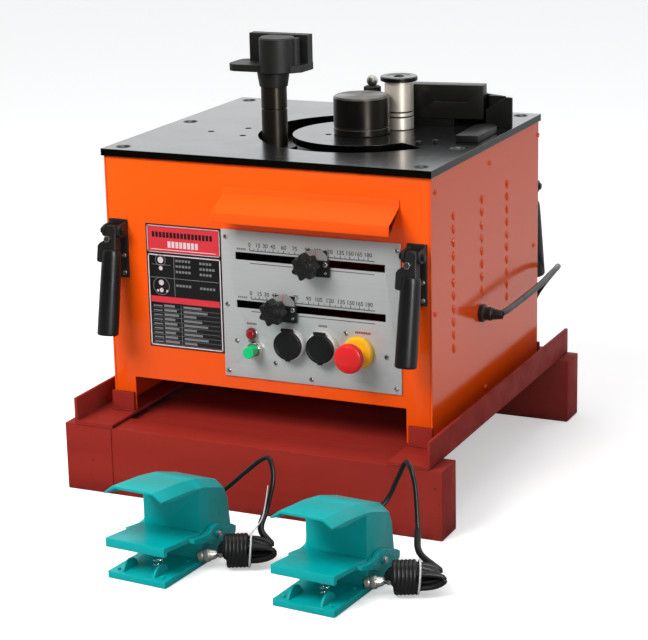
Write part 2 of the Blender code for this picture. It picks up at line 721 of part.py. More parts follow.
def build_slider(name, knob_name, x, z):
    """A carriage that clasps the panel through its slot, and the star knob that locks it."""
    inside = FRONT_Y + SHEET + GAP
    inner = box((x - 16, inside, z - 14), (x + 16, inside + 10, z + 14))
    carriage = add(name, inner, "black_plastic", (x, inside, z))
    front = PANEL_FACE_Y - KNOB_OUT
    low = (x - SLIDER_HALF_X, MOUNT_Y - SLIDER_T, z - SLIDER_HALF_Z)
    high = (x + SLIDER_HALF_X, MOUNT_Y, z + 5)
    fuse(carriage, box(low, high))
    fuse(carriage, box((x - 8, MOUNT_Y - 2, z + 3), (x + 22, MOUNT_Y, z + SLIDER_HALF_Z)))
    fuse(carriage, rod(4, (x, front + 10, z), inside + 1 - front - 10, "Y", 12))
    outline = []
    for k in range(24):
        angle = math.tau * k / 24
        radius = KNOB_R - 2.6 + 2.6 * math.cos(6 * angle)
        outline.append((x + radius * math.cos(angle), z + radius * math.sin(angle)))
    back = MOUNT_Y - SLIDER_T - GAP
    star = prism(outline, front, front + 20, "Y")
    knob = add(knob_name, star, "black_plastic", (x, back, z))
    fuse(knob, rod(11, (x, front + 18, z), back - front - 18, "Y", 12))
    cut(knob, rod(4 + 2 * GAP, (x, front + 8, z), 40, "Y", 10))


def front_piece(name, xz, profile, slot, sides=20):
    """A turned piece whose axis runs out of the panel. The profile is (radius, distance out of the panel)."""
    x, z = xz
    outward = [(radius, -distance) for radius, distance in profile]
    return add(name, turned(outward, (x, MOUNT_Y, z), "Y", sides), slot, (x, MOUNT_Y, z))


def build_controls():
    build_panel()
    build_slider("slider_upper", "knob_upper", KNOB_UPPER_X, SLOT_UPPER_Z)
    build_slider("slider_lower", "knob_lower", KNOB_LOWER_X, SLOT_LOWER_Z)
    back = -(PANEL_T + 16)
    lamp = [(0, back), (6, back), (6, 0), (8.5, 0), (8.5, 3), (7.5, 6), (4.5, 8.5), (0, 9.5)]
    front_piece("power_lamp", LAMP_XZ, lamp, "lamp_red", 16)
    bezel = [(5, back), (7, back), (7, 0), (10.5, 0), (10.5, 9), (8.8, 9), (8.8, 2), (5, 2)]
    front_piece("button_bezel", START_XZ, bezel, "chrome", 16)
    start = [(0, back), (4.7, back), (4.7, 7), (8.4, 7), (8.4, 23), (7.6, 25), (0, 25)]
    front_piece("start_button", START_XZ, start, "green_plastic", 16)
    ring = [(8.5, back), (11, back), (11, 0), (23, 0), (23, 6), (20.5, 9), (8.5, 9)]
    front_piece("estop_ring", ESTOP_XZ, ring, "yellow_plastic", 18)
    mushroom = [(0, back), (8, back), (8, 16), (13, 20), (20, 27), (21, 32), (20, 37), (14, 41), (0, 42)]
    front_piece("estop_button", ESTOP_XZ, mushroom, "red_plastic", 18)
    for word, xz in (("left", SOCKET_LEFT_XZ), ("right", SOCKET_RIGHT_XZ)):
        body = [(0, back), (14, back), (14, 0), (SOCKET_R, 0), (SOCKET_R, 9), (15, 9), (15, 3)]
        body += [(11, 3), (11, -6), (0, -6)]
        front_piece(f"socket_{word}", xz, body, "black_plastic")
        cap_low, cap_high = 9.5, 15.5
        cap = [(0, cap_low), (19, cap_low), (19, cap_high - 1), (18, cap_high), (0, cap_high)]
        x, z = xz
        piece = front_piece(f"socket_cap_{word}", xz, cap, "black_plastic")
        top = MOUNT_Y - cap_low
        fuse(piece, box((x - 6, top - 5.5, z + 16), (x + 6, top - 0.5, z + 23)))
        fuse(piece, box((x - 4, top - 5, z - 23), (x + 4, top - 0.5, z - 16)))


# ---------------------------------------------------------------- carry handles


def build_handle(label, side, face):
    """A bracket on the wall and a handle that hangs from its pin. face is -1 at the front, 1 at the back."""
    x = side * HANDLE_X
    wall = face * (CABINET_HALF_Y + GAP)
    out = face * (CABINET_HALF_Y + HANDLE_PIVOT_OUT)
    z = HANDLE_PIVOT_Z
    plate = box((x - 14, wall, 303), (x + 14, wall + face * 4, 388))
    bracket = add(f"handle_bracket_{label}", plate, "black_steel", (x, wall, z))
    ear = [(wall + face * 3, z - 10)]
    ear += [(out + face * 9 * c, z + 9 * s) for c, s in arc((0, 0), 1, -70, 70, 4)]
    ear += [(wall + face * 3, z + 10)]
    for edge in (-1, 1):
        x0, x1 = sorted((x + edge * 9.5, x + edge * 14))
        fuse(bracket, prism(ear, x0, x1, "X"))
    fuse(bracket, rod(4, (x - 15.5, out, z), 31, "X", 8))

    pivot = Vector((x, out, z))
    swing = about(pivot, face * HANDLE_HANG_DEG, "X")
    hub = tube(9, 4 + GAP + 0.2, (x - 9.1, out, z), 18.2, "X", 12)
    handle = add(f"carry_handle_{label}", moved(hub, swing), "black_rubber", pivot)
    fuse(handle, moved(box((x - 9, out - 7, z - 22), (x + 9, out + 7, z - 6.5)), swing))
    fuse(handle, moved(box((x - 11.5, out - 9, z - 66), (x + 11.5, out + 9, z - 17)), swing))
    fuse(handle, moved(box((x - 21, out - 8, z - 45), (x - 10, out + 8, z - 18)), swing))
    end = z - HANDLE_LENGTH
    r = GRIP_R
    grip = [(0, end), (r, end), (r - 1.2, z - 72), (r - 3, z - 62), (0, z - 62)]
    fuse(handle, moved(turned(grip, (x, out, 0), sides=14), swing))


def build_handles():
    for end, face in (("front", -1), ("rear", 1)):
        build_handle(f"{end}_left", -1, face)
        build_handle(f"{end}_right", 1, face)


# ---------------------------------------------------------------- power cord


def build_cord():
    x = CABINET_HALF_X
    y, z = GLAND_Y, GLAND_Z
    inner = CORD_R + 2 * GAP
    profile = [(inner, -10), (7.5, -10), (7.5, GAP), (12, GAP), (12, 6)]
    profile += [(9.5, 8), (9.5, 17), (8, 19), (inner, 19)]
    add("cable_gland", turned(profile, (x, y, z), "X", 14), "black_plastic")
    path = [(x - 14, y, z), (x + 8, y, z), (x + 21, y, z), (x + 27, y + 4, z), (x + 31, y + 26, z)]
    path += [(x + 32, 60, z + 1), (x + 31, 140, z + 2), (x + 27, 200, z + 3), (x + 20, 255, z)]
    path += [(x + 4, 292, z - 14), (x - 36, 318, z - 66), (176, 336, 104), (142, 352, 32)]
    path += [(112, 362, 8), (66, 368, 6), (20, 350, 6), (-20, 366, 6)]
    add("power_cord", swept(smooth_path(path, 2), CORD_R, 6), "black_rubber")


# ---------------------------------------------------------------- foot pedals


def build_pedal_body(label, frame):
    """A cast body, hollow from below, with a hood whose long edges are bevelled and end in two skirts."""
    half = PEDAL_HALF_X
    crown = half - HOOD_BEVEL[0]
    drop = HOOD_BEVEL[1]
    rear = []
    for y, top in HOOD_REAR:
        section = [(half, 0), (half, top - drop), (crown, top)]
        section += [(-x, z) for x, z in reversed(section)]
        rear.append([(x, y, z) for x, z in section])
    hood = []
    for y, top, edge in HOOD_FRONT:
        section = [(half, edge), (half, top - drop), (crown, top)]
        section += [(-x, z) for x, z in reversed(section)]
        under = [(half - 2, edge), (half - 2, top - drop - 1.5), (crown - 1, top - 3.5)]
        section += [(-x, z) for x, z in under] + list(reversed(under))
        hood.append([(x, y, z) for x, z in section])
    body = add(f"pedal_body_{label}", moved(skin(rear), frame), "teal_paint", frame @ Vector((0, 0, 0)))
    fuse(body, moved(skin(hood), frame))
    fuse(body, moved(box((-half, 0, 0), (half, PEDAL_FRONT_WALL_Y + 2, 9)), frame))
    hollow = [(90, -2), (155, -2), (155, 36), (149, 78), (142, 87), (98, 102), (90, 103)]
    cut(body, moved(prism(hollow, 4 - half, half - 4, "X"), frame))
    pivot_y, pivot_z = TREADLE_PIVOT
    fuse(body, moved(rod(5, (-half - 11, pivot_y, pivot_z), 2 * half + 22, "X", 16), frame))
    for x in (-25, 23):
        rib = arc((22, 4), 18, 0, 180, 8)
        fuse(body, moved(prism(rib, x - 1.5, x + 1.5, "X"), frame))


def build_pedal(label, place):
    """The body, the treadle on its pivot, the spring under it and the bundled cord."""
    frame = Matrix.Translation((*place, 0)) @ Matrix.Rotation(math.radians(PEDAL_YAW_DEG), 4, "Z")
    build_pedal_body(label, frame)
    half = PEDAL_HALF_X
    pivot_y, pivot_z = TREADLE_PIVOT
    pivot = frame @ Vector((0, pivot_y, pivot_z))
    rear = PEDAL_FRONT_WALL_Y - 3
    plate = [(-1, 43), (6, 43), (6, 48), (rear, 40.5), (rear, 47), (-1, 55)]
    solid = moved(prism(plate, -half - 1, half + 1, "X"), frame)
    treadle = add(f"treadle_{label}", solid, "teal_paint", pivot)
    arm = [(56, 48), (56, 43), (90, 32), (100, 26), (150, 21), (157, 25), (158, 33)]
    arm += [(150, 38), (118, 50), (104, 50), (96, 45), (84, 44)]
    for side in (-1, 1):
        x0, x1 = sorted((side * (half + 0.6), side * (half + 9)))
        fuse(treadle, moved(prism(arm, x0, x1, "X"), frame))
    hole = rod(5 + GAP, (-half - 20, pivot_y, pivot_z), 2 * half + 40, "X", 20)
    cut(treadle, moved(hole, frame))

    spring_at = Vector((12, 34, 0))
    low, high, steps = 11.2, 43.6, 32
    coil = []
    for k in range(steps + 1):
        angle = math.tau * k / 8
        height = low + (high - low) * k / steps
        coil.append(spring_at + Vector((6 * math.cos(angle), 6 * math.sin(angle), height)))
    spring = moved(swept(coil, 1.1, 4), frame)
    add(f"pedal_spring_{label}", spring, "chrome", frame @ spring_at)
    build_pedal_cord(label, frame)


def build_pedal_cord(label, frame):
    """The cord leaves the back of the pedal, arches over and ends in a tied bundle beside it."""
    start = CORD_ARCHES[label]
    centre = Vector((95, 106, 25))
    along = Vector((0.86, 0.51, 0)).normalized()
    across = Vector((along.y, -along.x, 0))
    loops = []
    turns, steps = 4, 8
    for k in range(turns * steps + 1):
        angle = math.tau * k / steps + math.pi / 2
        shift = 26 - 52 * k / (turns * steps)
        round_axis = 21 * math.sin(angle) * Vector((0, 0, 1)) + 17 * math.cos(angle) * across
        loops.append(centre + along * shift + round_axis)
    tail = [loops[-1] - along * 6 - Vector((0, 0, 3)), Vector((58, 90, 26)), Vector((54, 87, 10))]
    lead = smooth_path([*start, loops[0]], 2)[:-1]
    cord = moved(swept([*lead, *loops, *tail], PEDAL_CORD_R, 5), frame)
    add(f"pedal_cord_{label}", cord, "black_rubber", frame @ Vector(start[0]))


# ---------------------------------------------------------------- assembly


def build():
    clear_scene()
    build_skid()
    build_cabinet()
    build_side_panel("side_panel_left", -1)
    build_side_panel("side_panel_right", 1)
    build_canopy()
    build_top_plate()
    build_drive()
    build_post()
    build_post_head()
    build_formers()
    build_fence()
    build_controls()
    build_handles()
    build_cord()
    build_pedal("left", PEDAL_LEFT)
    build_pedal("right", PEDAL_RIGHT)


build()
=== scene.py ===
"""Looks of the electric rebar bender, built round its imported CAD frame.

Lengths are in millimetres: x and y run from the middle of the top plate, z from the floor. add_piece() turns
them into the frame's metres. Every piece rides on the CAD body that it belongs to.
"""

from math import cos, radians, sin, sqrt, tau

import bmesh
import bpy
from mathutils import Matrix, Vector


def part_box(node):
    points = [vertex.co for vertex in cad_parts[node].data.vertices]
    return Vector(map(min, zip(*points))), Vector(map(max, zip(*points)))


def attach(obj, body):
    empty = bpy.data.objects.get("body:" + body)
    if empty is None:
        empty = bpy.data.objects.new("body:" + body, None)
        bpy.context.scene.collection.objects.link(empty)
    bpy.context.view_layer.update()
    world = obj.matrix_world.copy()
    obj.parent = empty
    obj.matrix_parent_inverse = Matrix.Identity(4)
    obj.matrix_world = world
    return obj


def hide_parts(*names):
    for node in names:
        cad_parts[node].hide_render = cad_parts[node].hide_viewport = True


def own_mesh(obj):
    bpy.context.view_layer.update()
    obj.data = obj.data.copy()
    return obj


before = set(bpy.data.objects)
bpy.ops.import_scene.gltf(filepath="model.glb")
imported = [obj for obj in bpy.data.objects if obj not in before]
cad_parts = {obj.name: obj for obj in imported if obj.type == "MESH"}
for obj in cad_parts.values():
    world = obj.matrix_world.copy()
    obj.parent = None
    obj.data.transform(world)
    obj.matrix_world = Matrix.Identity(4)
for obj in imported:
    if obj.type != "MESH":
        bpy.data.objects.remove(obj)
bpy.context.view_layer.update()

PLATE_LOW, PLATE_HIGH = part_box("top_plate")
MIDDLE = Vector(((PLATE_LOW.x + PLATE_HIGH.x) / 2, (PLATE_LOW.y + PLATE_HIGH.y) / 2, 0))
TO_FRAME = Matrix.Translation(MIDDLE) @ Matrix.Scale(0.001, 4)


def new_object(name, data):
    made = bpy.data.objects.new(name, data)
    bpy.context.scene.collection.objects.link(made)
    return made


def box_mm(node):
    """A CAD node's lowest and highest corner, in this script's millimetres."""
    return [(corner - MIDDLE) * 1000 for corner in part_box(node)]


def middle_mm(node):
    low, high = box_mm(node)
    return (low + high) / 2


# -------- shape tools


def clean(bm):
    bmesh.ops.remove_doubles(bm, verts=bm.verts, dist=1e-4)
    bmesh.ops.recalc_face_normals(bm, faces=bm.faces)
    return bm


def box(low, high):
    bm = bmesh.new()
    centre = (Vector(low) + Vector(high)) / 2
    size = [abs(a - b) for a, b in zip(low, high)]
    bmesh.ops.create_cube(bm, size=1, matrix=Matrix.Translation(centre) @ Matrix.Diagonal((*size, 1)))
    return bm


AXIS_TURN = {
    "X": Matrix.Rotation(radians(90), 4, "Y"),
    "-X": Matrix.Rotation(radians(-90), 4, "Y"),
    "Y": Matrix.Rotation(radians(-90), 4, "X"),
    "-Y": Matrix.Rotation(radians(90), 4, "X"),
    "Z": Matrix.Identity(4),
}


def ring_angles(count):
    return [tau * i / count for i in range(count)]


def circle(radius, count, height):
    return [(radius * cos(a), radius * sin(a), height) for a in ring_angles(count)]


def turned(profile, place=(0, 0, 0), axis="Z", sides=64):
    """A turned shape from a line of (radius, height) points, closed only where the line meets the axis."""
    bm = bmesh.new()
    rings = []
    for radius, height in profile:
        if radius < 1e-6:
            rings.append([bm.verts.new((0, 0, height))] * sides)
        else:
            rings.append([bm.verts.new(point) for point in circle(radius, sides, height)])
    for lower, upper in zip(rings, rings[1:]):
        for i in range(sides):
            j = (i + 1) % sides
            corners = list(dict.fromkeys([lower[i], lower[j], upper[j], upper[i]]))
            if len(corners) > 2:
                bm.faces.new(corners)
    bm.transform(Matrix.Translation(place) @ AXIS_TURN[axis])
    return clean(bm)


def rounded(profile, radius, steps=3):
    """The profile with each inner corner rounded off."""
    points = [Vector(p) for p in profile]
    smooth = [tuple(points[0])]
    for before, corner, after in zip(points, points[1:], points[2:]):
        to_before, to_after = before - corner, after - corner
        reach = min(radius, to_before.length * 0.45, to_after.length * 0.45)
        start = corner + to_before.normalized() * reach
        end = corner + to_after.normalized() * reach
        for k in range(steps + 1):
            t = k / steps
            smooth.append(tuple((1 - t) ** 2 * start + 2 * t * (1 - t) * corner + t**2 * end))
    return smooth + [tuple(points[-1])]


def prism(outline, low, high, axis="Z"):
    """An outline of (u, v) points pushed along an axis: (x, y) for Z, (x, z) for Y, (y, z) for X."""

    def at(u, v, w):
        return {"Z": (u, v, w), "Y": (u, w, v), "X": (w, u, v)}[axis]

    bm = bmesh.new()
    bottom = [bm.verts.new(at(u, v, low)) for u, v in outline]
    top = [bm.verts.new(at(u, v, high)) for u, v in outline]
    bm.faces.new(bottom)
    bm.faces.new(top)
    for i in range(len(outline)):
        j = (i + 1) % len(outline)
        bm.faces.new((bottom[i], bottom[j], top[j], top[i]))
    return clean(bm)


def lobed(centre, radius, depth, lobes, steps):
    """The outline of a star knob or a knurled edge."""
    outline = []
    for angle in ring_angles(steps):
        r = radius - depth / 2 + depth / 2 * cos(lobes * angle)
        outline.append((centre[0] + r * cos(angle), centre[1] + r * sin(angle)))
    return outline


def swept(path, radius, sides=12):
    """A round bar along a path. The radius is a number, or a function of the share of the path."""
    points = [Vector(p) for p in path]
    bm = bmesh.new()
    rings = []
    side = None
    for i, point in enumerate(points):
        ahead = (points[min(i + 1, len(points) - 1)] - points[max(i - 1, 0)]).normalized()
        if side is None:
            side = ahead.orthogonal().normalized()
        side = (side - ahead * side.dot(ahead)).normalized()
        other = ahead.cross(side)
        r = radius(i / (len(points) - 1)) if callable(radius) else radius
        offsets = [r * (cos(a) * side + sin(a) * other) for a in ring_angles(sides)]
        rings.append([bm.verts.new(point + offset) for offset in offsets])
    for one, two in zip(rings, rings[1:]):
        for k in range(sides):
            n = (k + 1) % sides
            bm.faces.new((one[k], one[n], two[n], two[k]))
    bm.faces.new(rings[0])
    bm.faces.new(rings[-1])
    return clean(bm)


def smooth_path(points, steps):
    """A Catmull-Rom curve through the points."""
    knots = [Vector(p) for p in points]
    knots = [2 * knots[0] - knots[1], *knots, 2 * knots[-1] - knots[-2]]
    path = []
    for a, b, c, d in zip(knots, knots[1:], knots[2:], knots[3:]):
        for i in range(steps):
            t = i / steps
            bend = (2 * a - 5 * b + 4 * c - d) * t**2 + (3 * b - a - 3 * c + d) * t**3
            path.append(0.5 * (2 * b + (c - a) * t + bend))
    path.append(knots[-2])
    return path


def joined(*shapes):
    bm = bmesh.new()
    for shape in shapes:
        mesh = bpy.data.meshes.new("joined")
        shape.to_mesh(mesh)
        shape.free()
        bm.from_mesh(mesh)
        bpy.data.meshes.remove(mesh)
    return bm


def moved(bm, matrix):
    bm.transform(matrix)
    return bm


def about(point, degrees, axis):
    """A turn of some degrees about an axis through a point."""
    shift = Matrix.Translation(point)
    return shift @ Matrix.Rotation(radians(degrees), 4, axis) @ shift.inverted()


# -------- materials


SURFACES = {}  # name: (material, slot)


class Recipe:
    """A procedural material under construction. Most calls add a node and return its output.

    slot is the CAD material that it stands for, and None on what the object doesn't have. It is stored in
    SURFACES but not used.
    """

    def __init__(self, name, slot, colour, roughness, metallic=0.0, coat=0.0):
        self.made = bpy.data.materials.new(name)
        SURFACES[name] = self.made, slot
        self.made.use_nodes = True
        self.tree = self.made.node_tree
        self.shader = self.tree.nodes["Principled BSDF"]
        self.colour = self.fixed_colour(colour)
        self.roughness = roughness
        self.normal = None
        self.set(self.shader, "Metallic", metallic)
        self.set(self.shader, "Coat Weight", coat)
        self.set(self.shader, "Coat Roughness", 0.08)
        self.where = self.add("ShaderNodeTexCoord").outputs["Object"]

    def add(self, kind, inputs=None, **settings):
        """A node with some inputs, each a value or another node's output."""
        node = self.tree.nodes.new(kind)
        for key, value in settings.items():
            setattr(node, key, value)
        for socket, value in (inputs or {}).items():
            self.set(node, socket, value)
        return node

    def set(self, node, socket, value):
        if isinstance(value, bpy.types.NodeSocket):
            self.tree.links.new(value, node.inputs[socket])
        elif value is not None:
            node.inputs[socket].default_value = value

    def fixed_colour(self, colour):
        node = self.add("ShaderNodeRGB")
        node.outputs[0].default_value = (*colour, 1)
        return node.outputs[0]

    def noise(self, scale, detail=3.0, stretch=(1, 1, 1), distortion=0.0, where=None):
        place = self.add("ShaderNodeMapping", {"Vector": where or self.where, "Scale": stretch})
        look = {"Scale": scale, "Detail": detail, "Distortion": distortion}
        return self.add("ShaderNodeTexNoise", {"Vector": place.outputs[0]} | look).outputs["Fac"]

    def span(self, value, low, high, to_low=0.0, to_high=1.0):
        ends = {"From Min": low, "From Max": high, "To Min": to_low, "To Max": to_high}
        return self.add("ShaderNodeMapRange", {"Value": value} | ends).outputs[0]

    def patches(self, scale, detail, low, high, to_low=0.0, to_high=1.0):
        """Noise that is stretched between two values."""
        return self.span(self.noise(scale, detail), low, high, to_low, to_high)

    def maths(self, operation, a, b=0.0):
        return self.add("ShaderNodeMath", {0: a, 1: b}, operation=operation).outputs[0]

    def vectors(self, operation, a, b=None):
        return self.add("ShaderNodeVectorMath", {0: a, 1: b}, operation=operation).outputs

    def split(self, vector):
        """The x, y and z of a vector."""
        return self.add("ShaderNodeSeparateXYZ", {0: vector}).outputs

    def times(self, a, b):
        return self.maths("MULTIPLY", a, b)

    def tint(self, share, colour):
        """Lays a colour over what is there, where the share is above 0."""
        layer = self.fixed_colour(colour)
        mix = self.add("ShaderNodeMix", {0: share, 6: self.colour, 7: layer}, data_type="RGBA")
        self.colour = mix.outputs[2]

    def round_edges(self, radius_mm):
        """Softens the edges in the light, and returns a mask of them."""
        self.normal = self.add("ShaderNodeBevel", {"Radius": radius_mm * 0.001}, samples=4).outputs[0]
        geometry = self.add("ShaderNodeNewGeometry")
        dot = self.vectors("DOT_PRODUCT", self.normal, geometry.outputs["Normal"])
        return self.span(dot["Value"], 0.99, 0.8)

    def painted_corner_shade(self, reach_mm, strength, colour):
        """Painted shade: darkens corners and hollows by ambient occlusion, broken up by noise."""
        near = self.add("ShaderNodeAmbientOcclusion", {"Distance": reach_mm * 0.001}, samples=4)
        shade = self.span(near.outputs["AO"], 0.85, 0.3, 0.0, strength)
        self.tint(self.times(shade, self.patches(40, 3, 0.3, 0.6)), colour)

    def relief(self, height, strength, depth_mm):
        bump = {"Height": height, "Strength": strength, "Distance": depth_mm * 0.001, "Normal": self.normal}
        self.normal = self.add("ShaderNodeBump", bump).outputs[0]

    def facing_up(self):
        """1 on faces that look up, 0 on upright ones."""
        geometry = self.add("ShaderNodeNewGeometry")
        return self.span(self.split(geometry.outputs["Normal"])[2], 0.5, 0.9)

    def round_grain(self, amount):
        """Stretches reflections along the axis of a turned piece."""
        tangent = self.add("ShaderNodeTangent", direction_type="RADIAL", axis="Z")
        self.set(self.shader, "Anisotropic", amount)
        self.set(self.shader, "Anisotropic Rotation", 0.25)
        self.set(self.shader, "Tangent", tangent.outputs[0])

    def rings(self, centre, scale):
        """Fine tool marks round a turned piece, on its side and its ends."""
        offset = self.vectors("SUBTRACT", self.where, tuple(TO_FRAME @ Vector(centre)))[0]
        out = self.vectors("LENGTH", self.vectors("MULTIPLY", offset, (1, 1, 0))[0])["Value"]
        both = self.add("ShaderNodeCombineXYZ", {0: out, 1: self.split(offset)[2]})
        return self.noise(scale, 2.0, where=both.outputs[0])

    def done(self):
        self.set(self.shader, "Base Color", self.colour)
        self.set(self.shader, "Roughness", self.roughness)
        self.set(self.shader, "Normal", self.normal)
        return self.made


def paint(name, slot, colour, shade, edge_wear_and_highlight, roughness=0.3, wear=0.5, peel=0.25, gloss=0.5, scuffs=1.0):
    """Sprayed paint: tone drift, orange peel, and edges worn to what is under it; on the teal, painted
    highlight too.
    """
    r = Recipe(name, slot, colour, roughness)
    r.set(r.shader, "Specular IOR Level", gloss)
    edge = r.round_edges(1.2)
    r.tint(r.patches(5, 4, 0.35, 0.75, 0.0, 0.3), shade)
    r.tint(r.patches(260, 5, 0.55, 0.8, 0.0, 0.2), shade)
    scuff = r.patches(55, 8, 0.56, 0.7)
    scuff = r.times(scuff, r.patches(7, 2, 0.42, 0.6, 0.0, scuffs))
    worn = r.times(edge, r.patches(70, 6, 0.5, 0.68))
    r.tint(r.times(worn, wear), edge_wear_and_highlight)
    smears = r.noise(9, 5, (1, 1, 0.3))
    r.roughness = r.maths("ADD", r.span(smears, 0.3, 0.7, roughness - 0.03, roughness + 0.06), scuff)
    r.roughness = r.maths("MINIMUM", r.roughness, 0.75)
    r.relief(r.noise(420, 2), peel, 0.12)
    r.done()


def oxide(name, slot, colour, shade, rust):
    """Brushed red primer: brush streaks, thin patches, rust spots and chipped edges."""
    r = Recipe(name, slot, colour, 0.5)
    r.set(r.shader, "Specular IOR Level", 0.15)
    edge = r.round_edges(1.6)
    streaks = r.noise(30, 6, (0.08, 1, 1), 0.4)
    r.tint(r.span(streaks, 0.4, 0.75, 0.0, 0.5), shade)
    r.tint(r.patches(6, 5, 0.5, 0.8, 0.0, 0.45), [min(1, c * 1.35 + 0.01) for c in colour])
    spots = r.times(r.patches(140, 3, 0.67, 0.74), r.patches(11, 3, 0.46, 0.6))
    r.tint(spots, rust)
    # Painted shade darkens the corners and hollows of the skid.
    r.painted_corner_shade(30, 0.75, [c * 0.25 for c in shade])
    r.tint(r.times(edge, r.patches(80, 6, 0.52, 0.66)), [c * 1.5 for c in rust])
    r.roughness = r.span(streaks, 0.3, 0.7, 0.55, 0.75)
    r.relief(r.noise(85, 6, (0.25, 1, 1)), 0.3, 0.5)
    r.relief(r.noise(900, 2), 0.15, 0.1)
    r.done()


def steel(
    name, slot, colour, shade, rough, metal=1.0, scratches=0.4, centre=None, sides=None, grain=0.0, blotch=0.1
):
    """Machined or blackened steel: tool marks, stains, scratches and polished edges.

    centre is the axis of a turned piece, sides a darker colour laid on upright faces as painted shade, so
    that the tops stay paler like a lit reflection, and blotch how much rougher the stains are.
    """
    r = Recipe(name, slot, colour, rough, metal)
    edge = r.round_edges(0.8)
    stain = r.noise(14, 7, distortion=0.6)
    r.tint(r.span(stain, 0.42, 0.72, 0.0, 0.7), shade)
    # Painted shade: upright faces take the darker sides colour, so that the tops look lit.
    if sides:
        r.tint(r.maths("SUBTRACT", 1.0, r.facing_up()), sides)
    if grain:
        r.round_grain(grain)
    marks = r.rings(centre, 1500) if centre else r.noise(420, 4, (0.1, 1, 1))
    fine = r.noise(800, 3, (0.03, 1, 1))
    cross = r.noise(700, 3, (1, 0.04, 1))
    lines = r.maths("MAXIMUM", r.span(fine, 0.66, 0.72), r.span(cross, 0.69, 0.74))
    lines = r.times(lines, r.patches(16, 3, 0.45, 0.65, 0.0, scratches))
    bright = [min(1, c * 2.2 + 0.03) for c in colour]
    r.tint(r.times(lines, 0.5), bright)
    r.tint(r.times(edge, r.patches(60, 4, 0.35, 0.65, 0.15, 0.8)), bright)
    r.roughness = r.maths("ADD", r.span(stain, 0.35, 0.7, rough - 0.03, rough + blotch), lines)
    r.relief(marks, 0.02 if centre else 0.05, 0.05)
    r.done()


def plastic(name, slot, colour, shade, roughness=0.42, grain=0.2, coat=0.0):
    """Moulded plastic or rubber: fine texture, handling shine and paler edges."""
    r = Recipe(name, slot, colour, roughness, coat=coat)
    r.set(r.shader, "Specular IOR Level", 0.35)
    edge = r.round_edges(0.6)
    r.tint(r.patches(18, 5, 0.4, 0.75, 0.0, 0.6), shade)
    pale = [min(1, c * 1.4 + 0.02) for c in colour]
    r.tint(r.times(edge, r.patches(90, 5, 0.4, 0.65, 0.1, 0.7)), pale)
    r.roughness = r.patches(30, 5, 0.3, 0.7, roughness - 0.08, roughness + 0.08)
    r.relief(r.noise(1600, 2), grain, 0.06)
    r.done()


def brushed(name, slot, colour, shade):
    """The anodised front panel, brushed along its length."""
    r = Recipe(name, slot, colour, 0.42, 0.35)
    r.round_edges(0.6)
    lines = r.noise(650, 4, (0.012, 1, 1))
    r.tint(r.span(lines, 0.35, 0.7, 0.0, 0.28), shade)
    r.tint(r.patches(8, 4, 0.45, 0.8, 0.0, 0.3), [c * 0.9 for c in colour])
    prints = r.patches(34, 6, 0.58, 0.72, 0.0, 0.12)
    r.roughness = r.maths("ADD", r.span(lines, 0.3, 0.7, 0.36, 0.5), prints)
    r.relief(lines, 0.05, 0.05)
    r.done()


def printed(name, slot, colour, shade, roughness=0.35):
    """Ink on a label: slightly uneven, with the faint texture of the foil."""
    r = Recipe(name, slot, colour, roughness, coat=0.2)
    r.tint(r.patches(30, 6, 0.45, 0.75, 0.0, 0.5), shade)
    r.tint(r.patches(500, 3, 0.6, 0.75, 0.0, 0.3), shade)
    r.roughness = r.patches(25, 4, 0.3, 0.7, roughness - 0.05, roughness + 0.12)
    r.relief(r.noise(600, 2), 0.05, 0.05)
    r.done()


# Painted light: plate, mandrel and cap get much darker upright faces than tops, for the reflection their tops
# show.
PLATE_SHADED_SIDES = {"sides": (0.014, 0.013, 0.011), "blotch": 0.0}
MANDREL_TURNED = {"centre": (54, 1, 0), "sides": (0.03, 0.026, 0.021), "grain": 0.8}
ROLLER_AXIS = (92, 51, 0)
CAP_TURNED = {"centre": ROLLER_AXIS, "sides": (0.02, 0.019, 0.018)}
POST_TURNED = {"centre": (-69, -32, 0), "grain": 0.7}
ORANGES = (1.0, 0.1, 0.004), (0.93, 0.085, 0.003), (0.4, 0.13, 0.05)  # paint, its shade, what is under it
CLEAN_PAINT = {"wear": 0.3, "peel": 0.06, "scuffs": 0.0}


def grey(value):
    return (value, value, value)


paint("orange", "orange_paint", *ORANGES, 0.14, **CLEAN_PAINT)
paint("orange_soft", "orange_paint", *ORANGES, 0.5, gloss=0.15, **CLEAN_PAINT)
oxide("oxide", "red_oxide", (0.3, 0.022, 0.014), (0.2, 0.011, 0.008), (0.07, 0.02, 0.01))
steel("plate", "plate_steel", (0.125, 0.128, 0.133), (0.105, 0.107, 0.11), 0.22, 0.95, 0.2, **PLATE_SHADED_SIDES)
steel("blackened", "black_steel", (0.024, 0.023, 0.021), (0.013, 0.012, 0.011), 0.36, 0.7)
steel("post", "black_steel", (0.04, 0.034, 0.026), (0.02, 0.017, 0.014), 0.42, 0.8, **POST_TURNED)
steel("cast", "black_steel", (0.012, 0.011, 0.01), (0.007, 0.007, 0.006), 0.5, 0.1, 0.15)
steel("bright", "bright_steel", (0.66, 0.63, 0.57), (0.42, 0.39, 0.34), 0.22)
steel("gear", "gear_steel", (0.05, 0.048, 0.045), (0.02, 0.019, 0.017), 0.3, 0.8)
steel("iron", "cast_iron", (0.05, 0.052, 0.055), (0.03, 0.032, 0.034), 0.6, 0.6)
brushed("panel", "panel_grey", (0.6, 0.61, 0.6), (0.5, 0.51, 0.505))
printed("label", "label_print", (0.007, 0.006, 0.006), (0.012, 0.011, 0.011))
printed("ink", "label_print", grey(0.1), grey(0.17), 0.5)
printed("label_red", "label_print", (0.7, 0.03, 0.045), (0.58, 0.02, 0.03))
printed("label_dark_red", "label_print", (0.3, 0.012, 0.015), (0.2, 0.01, 0.012))
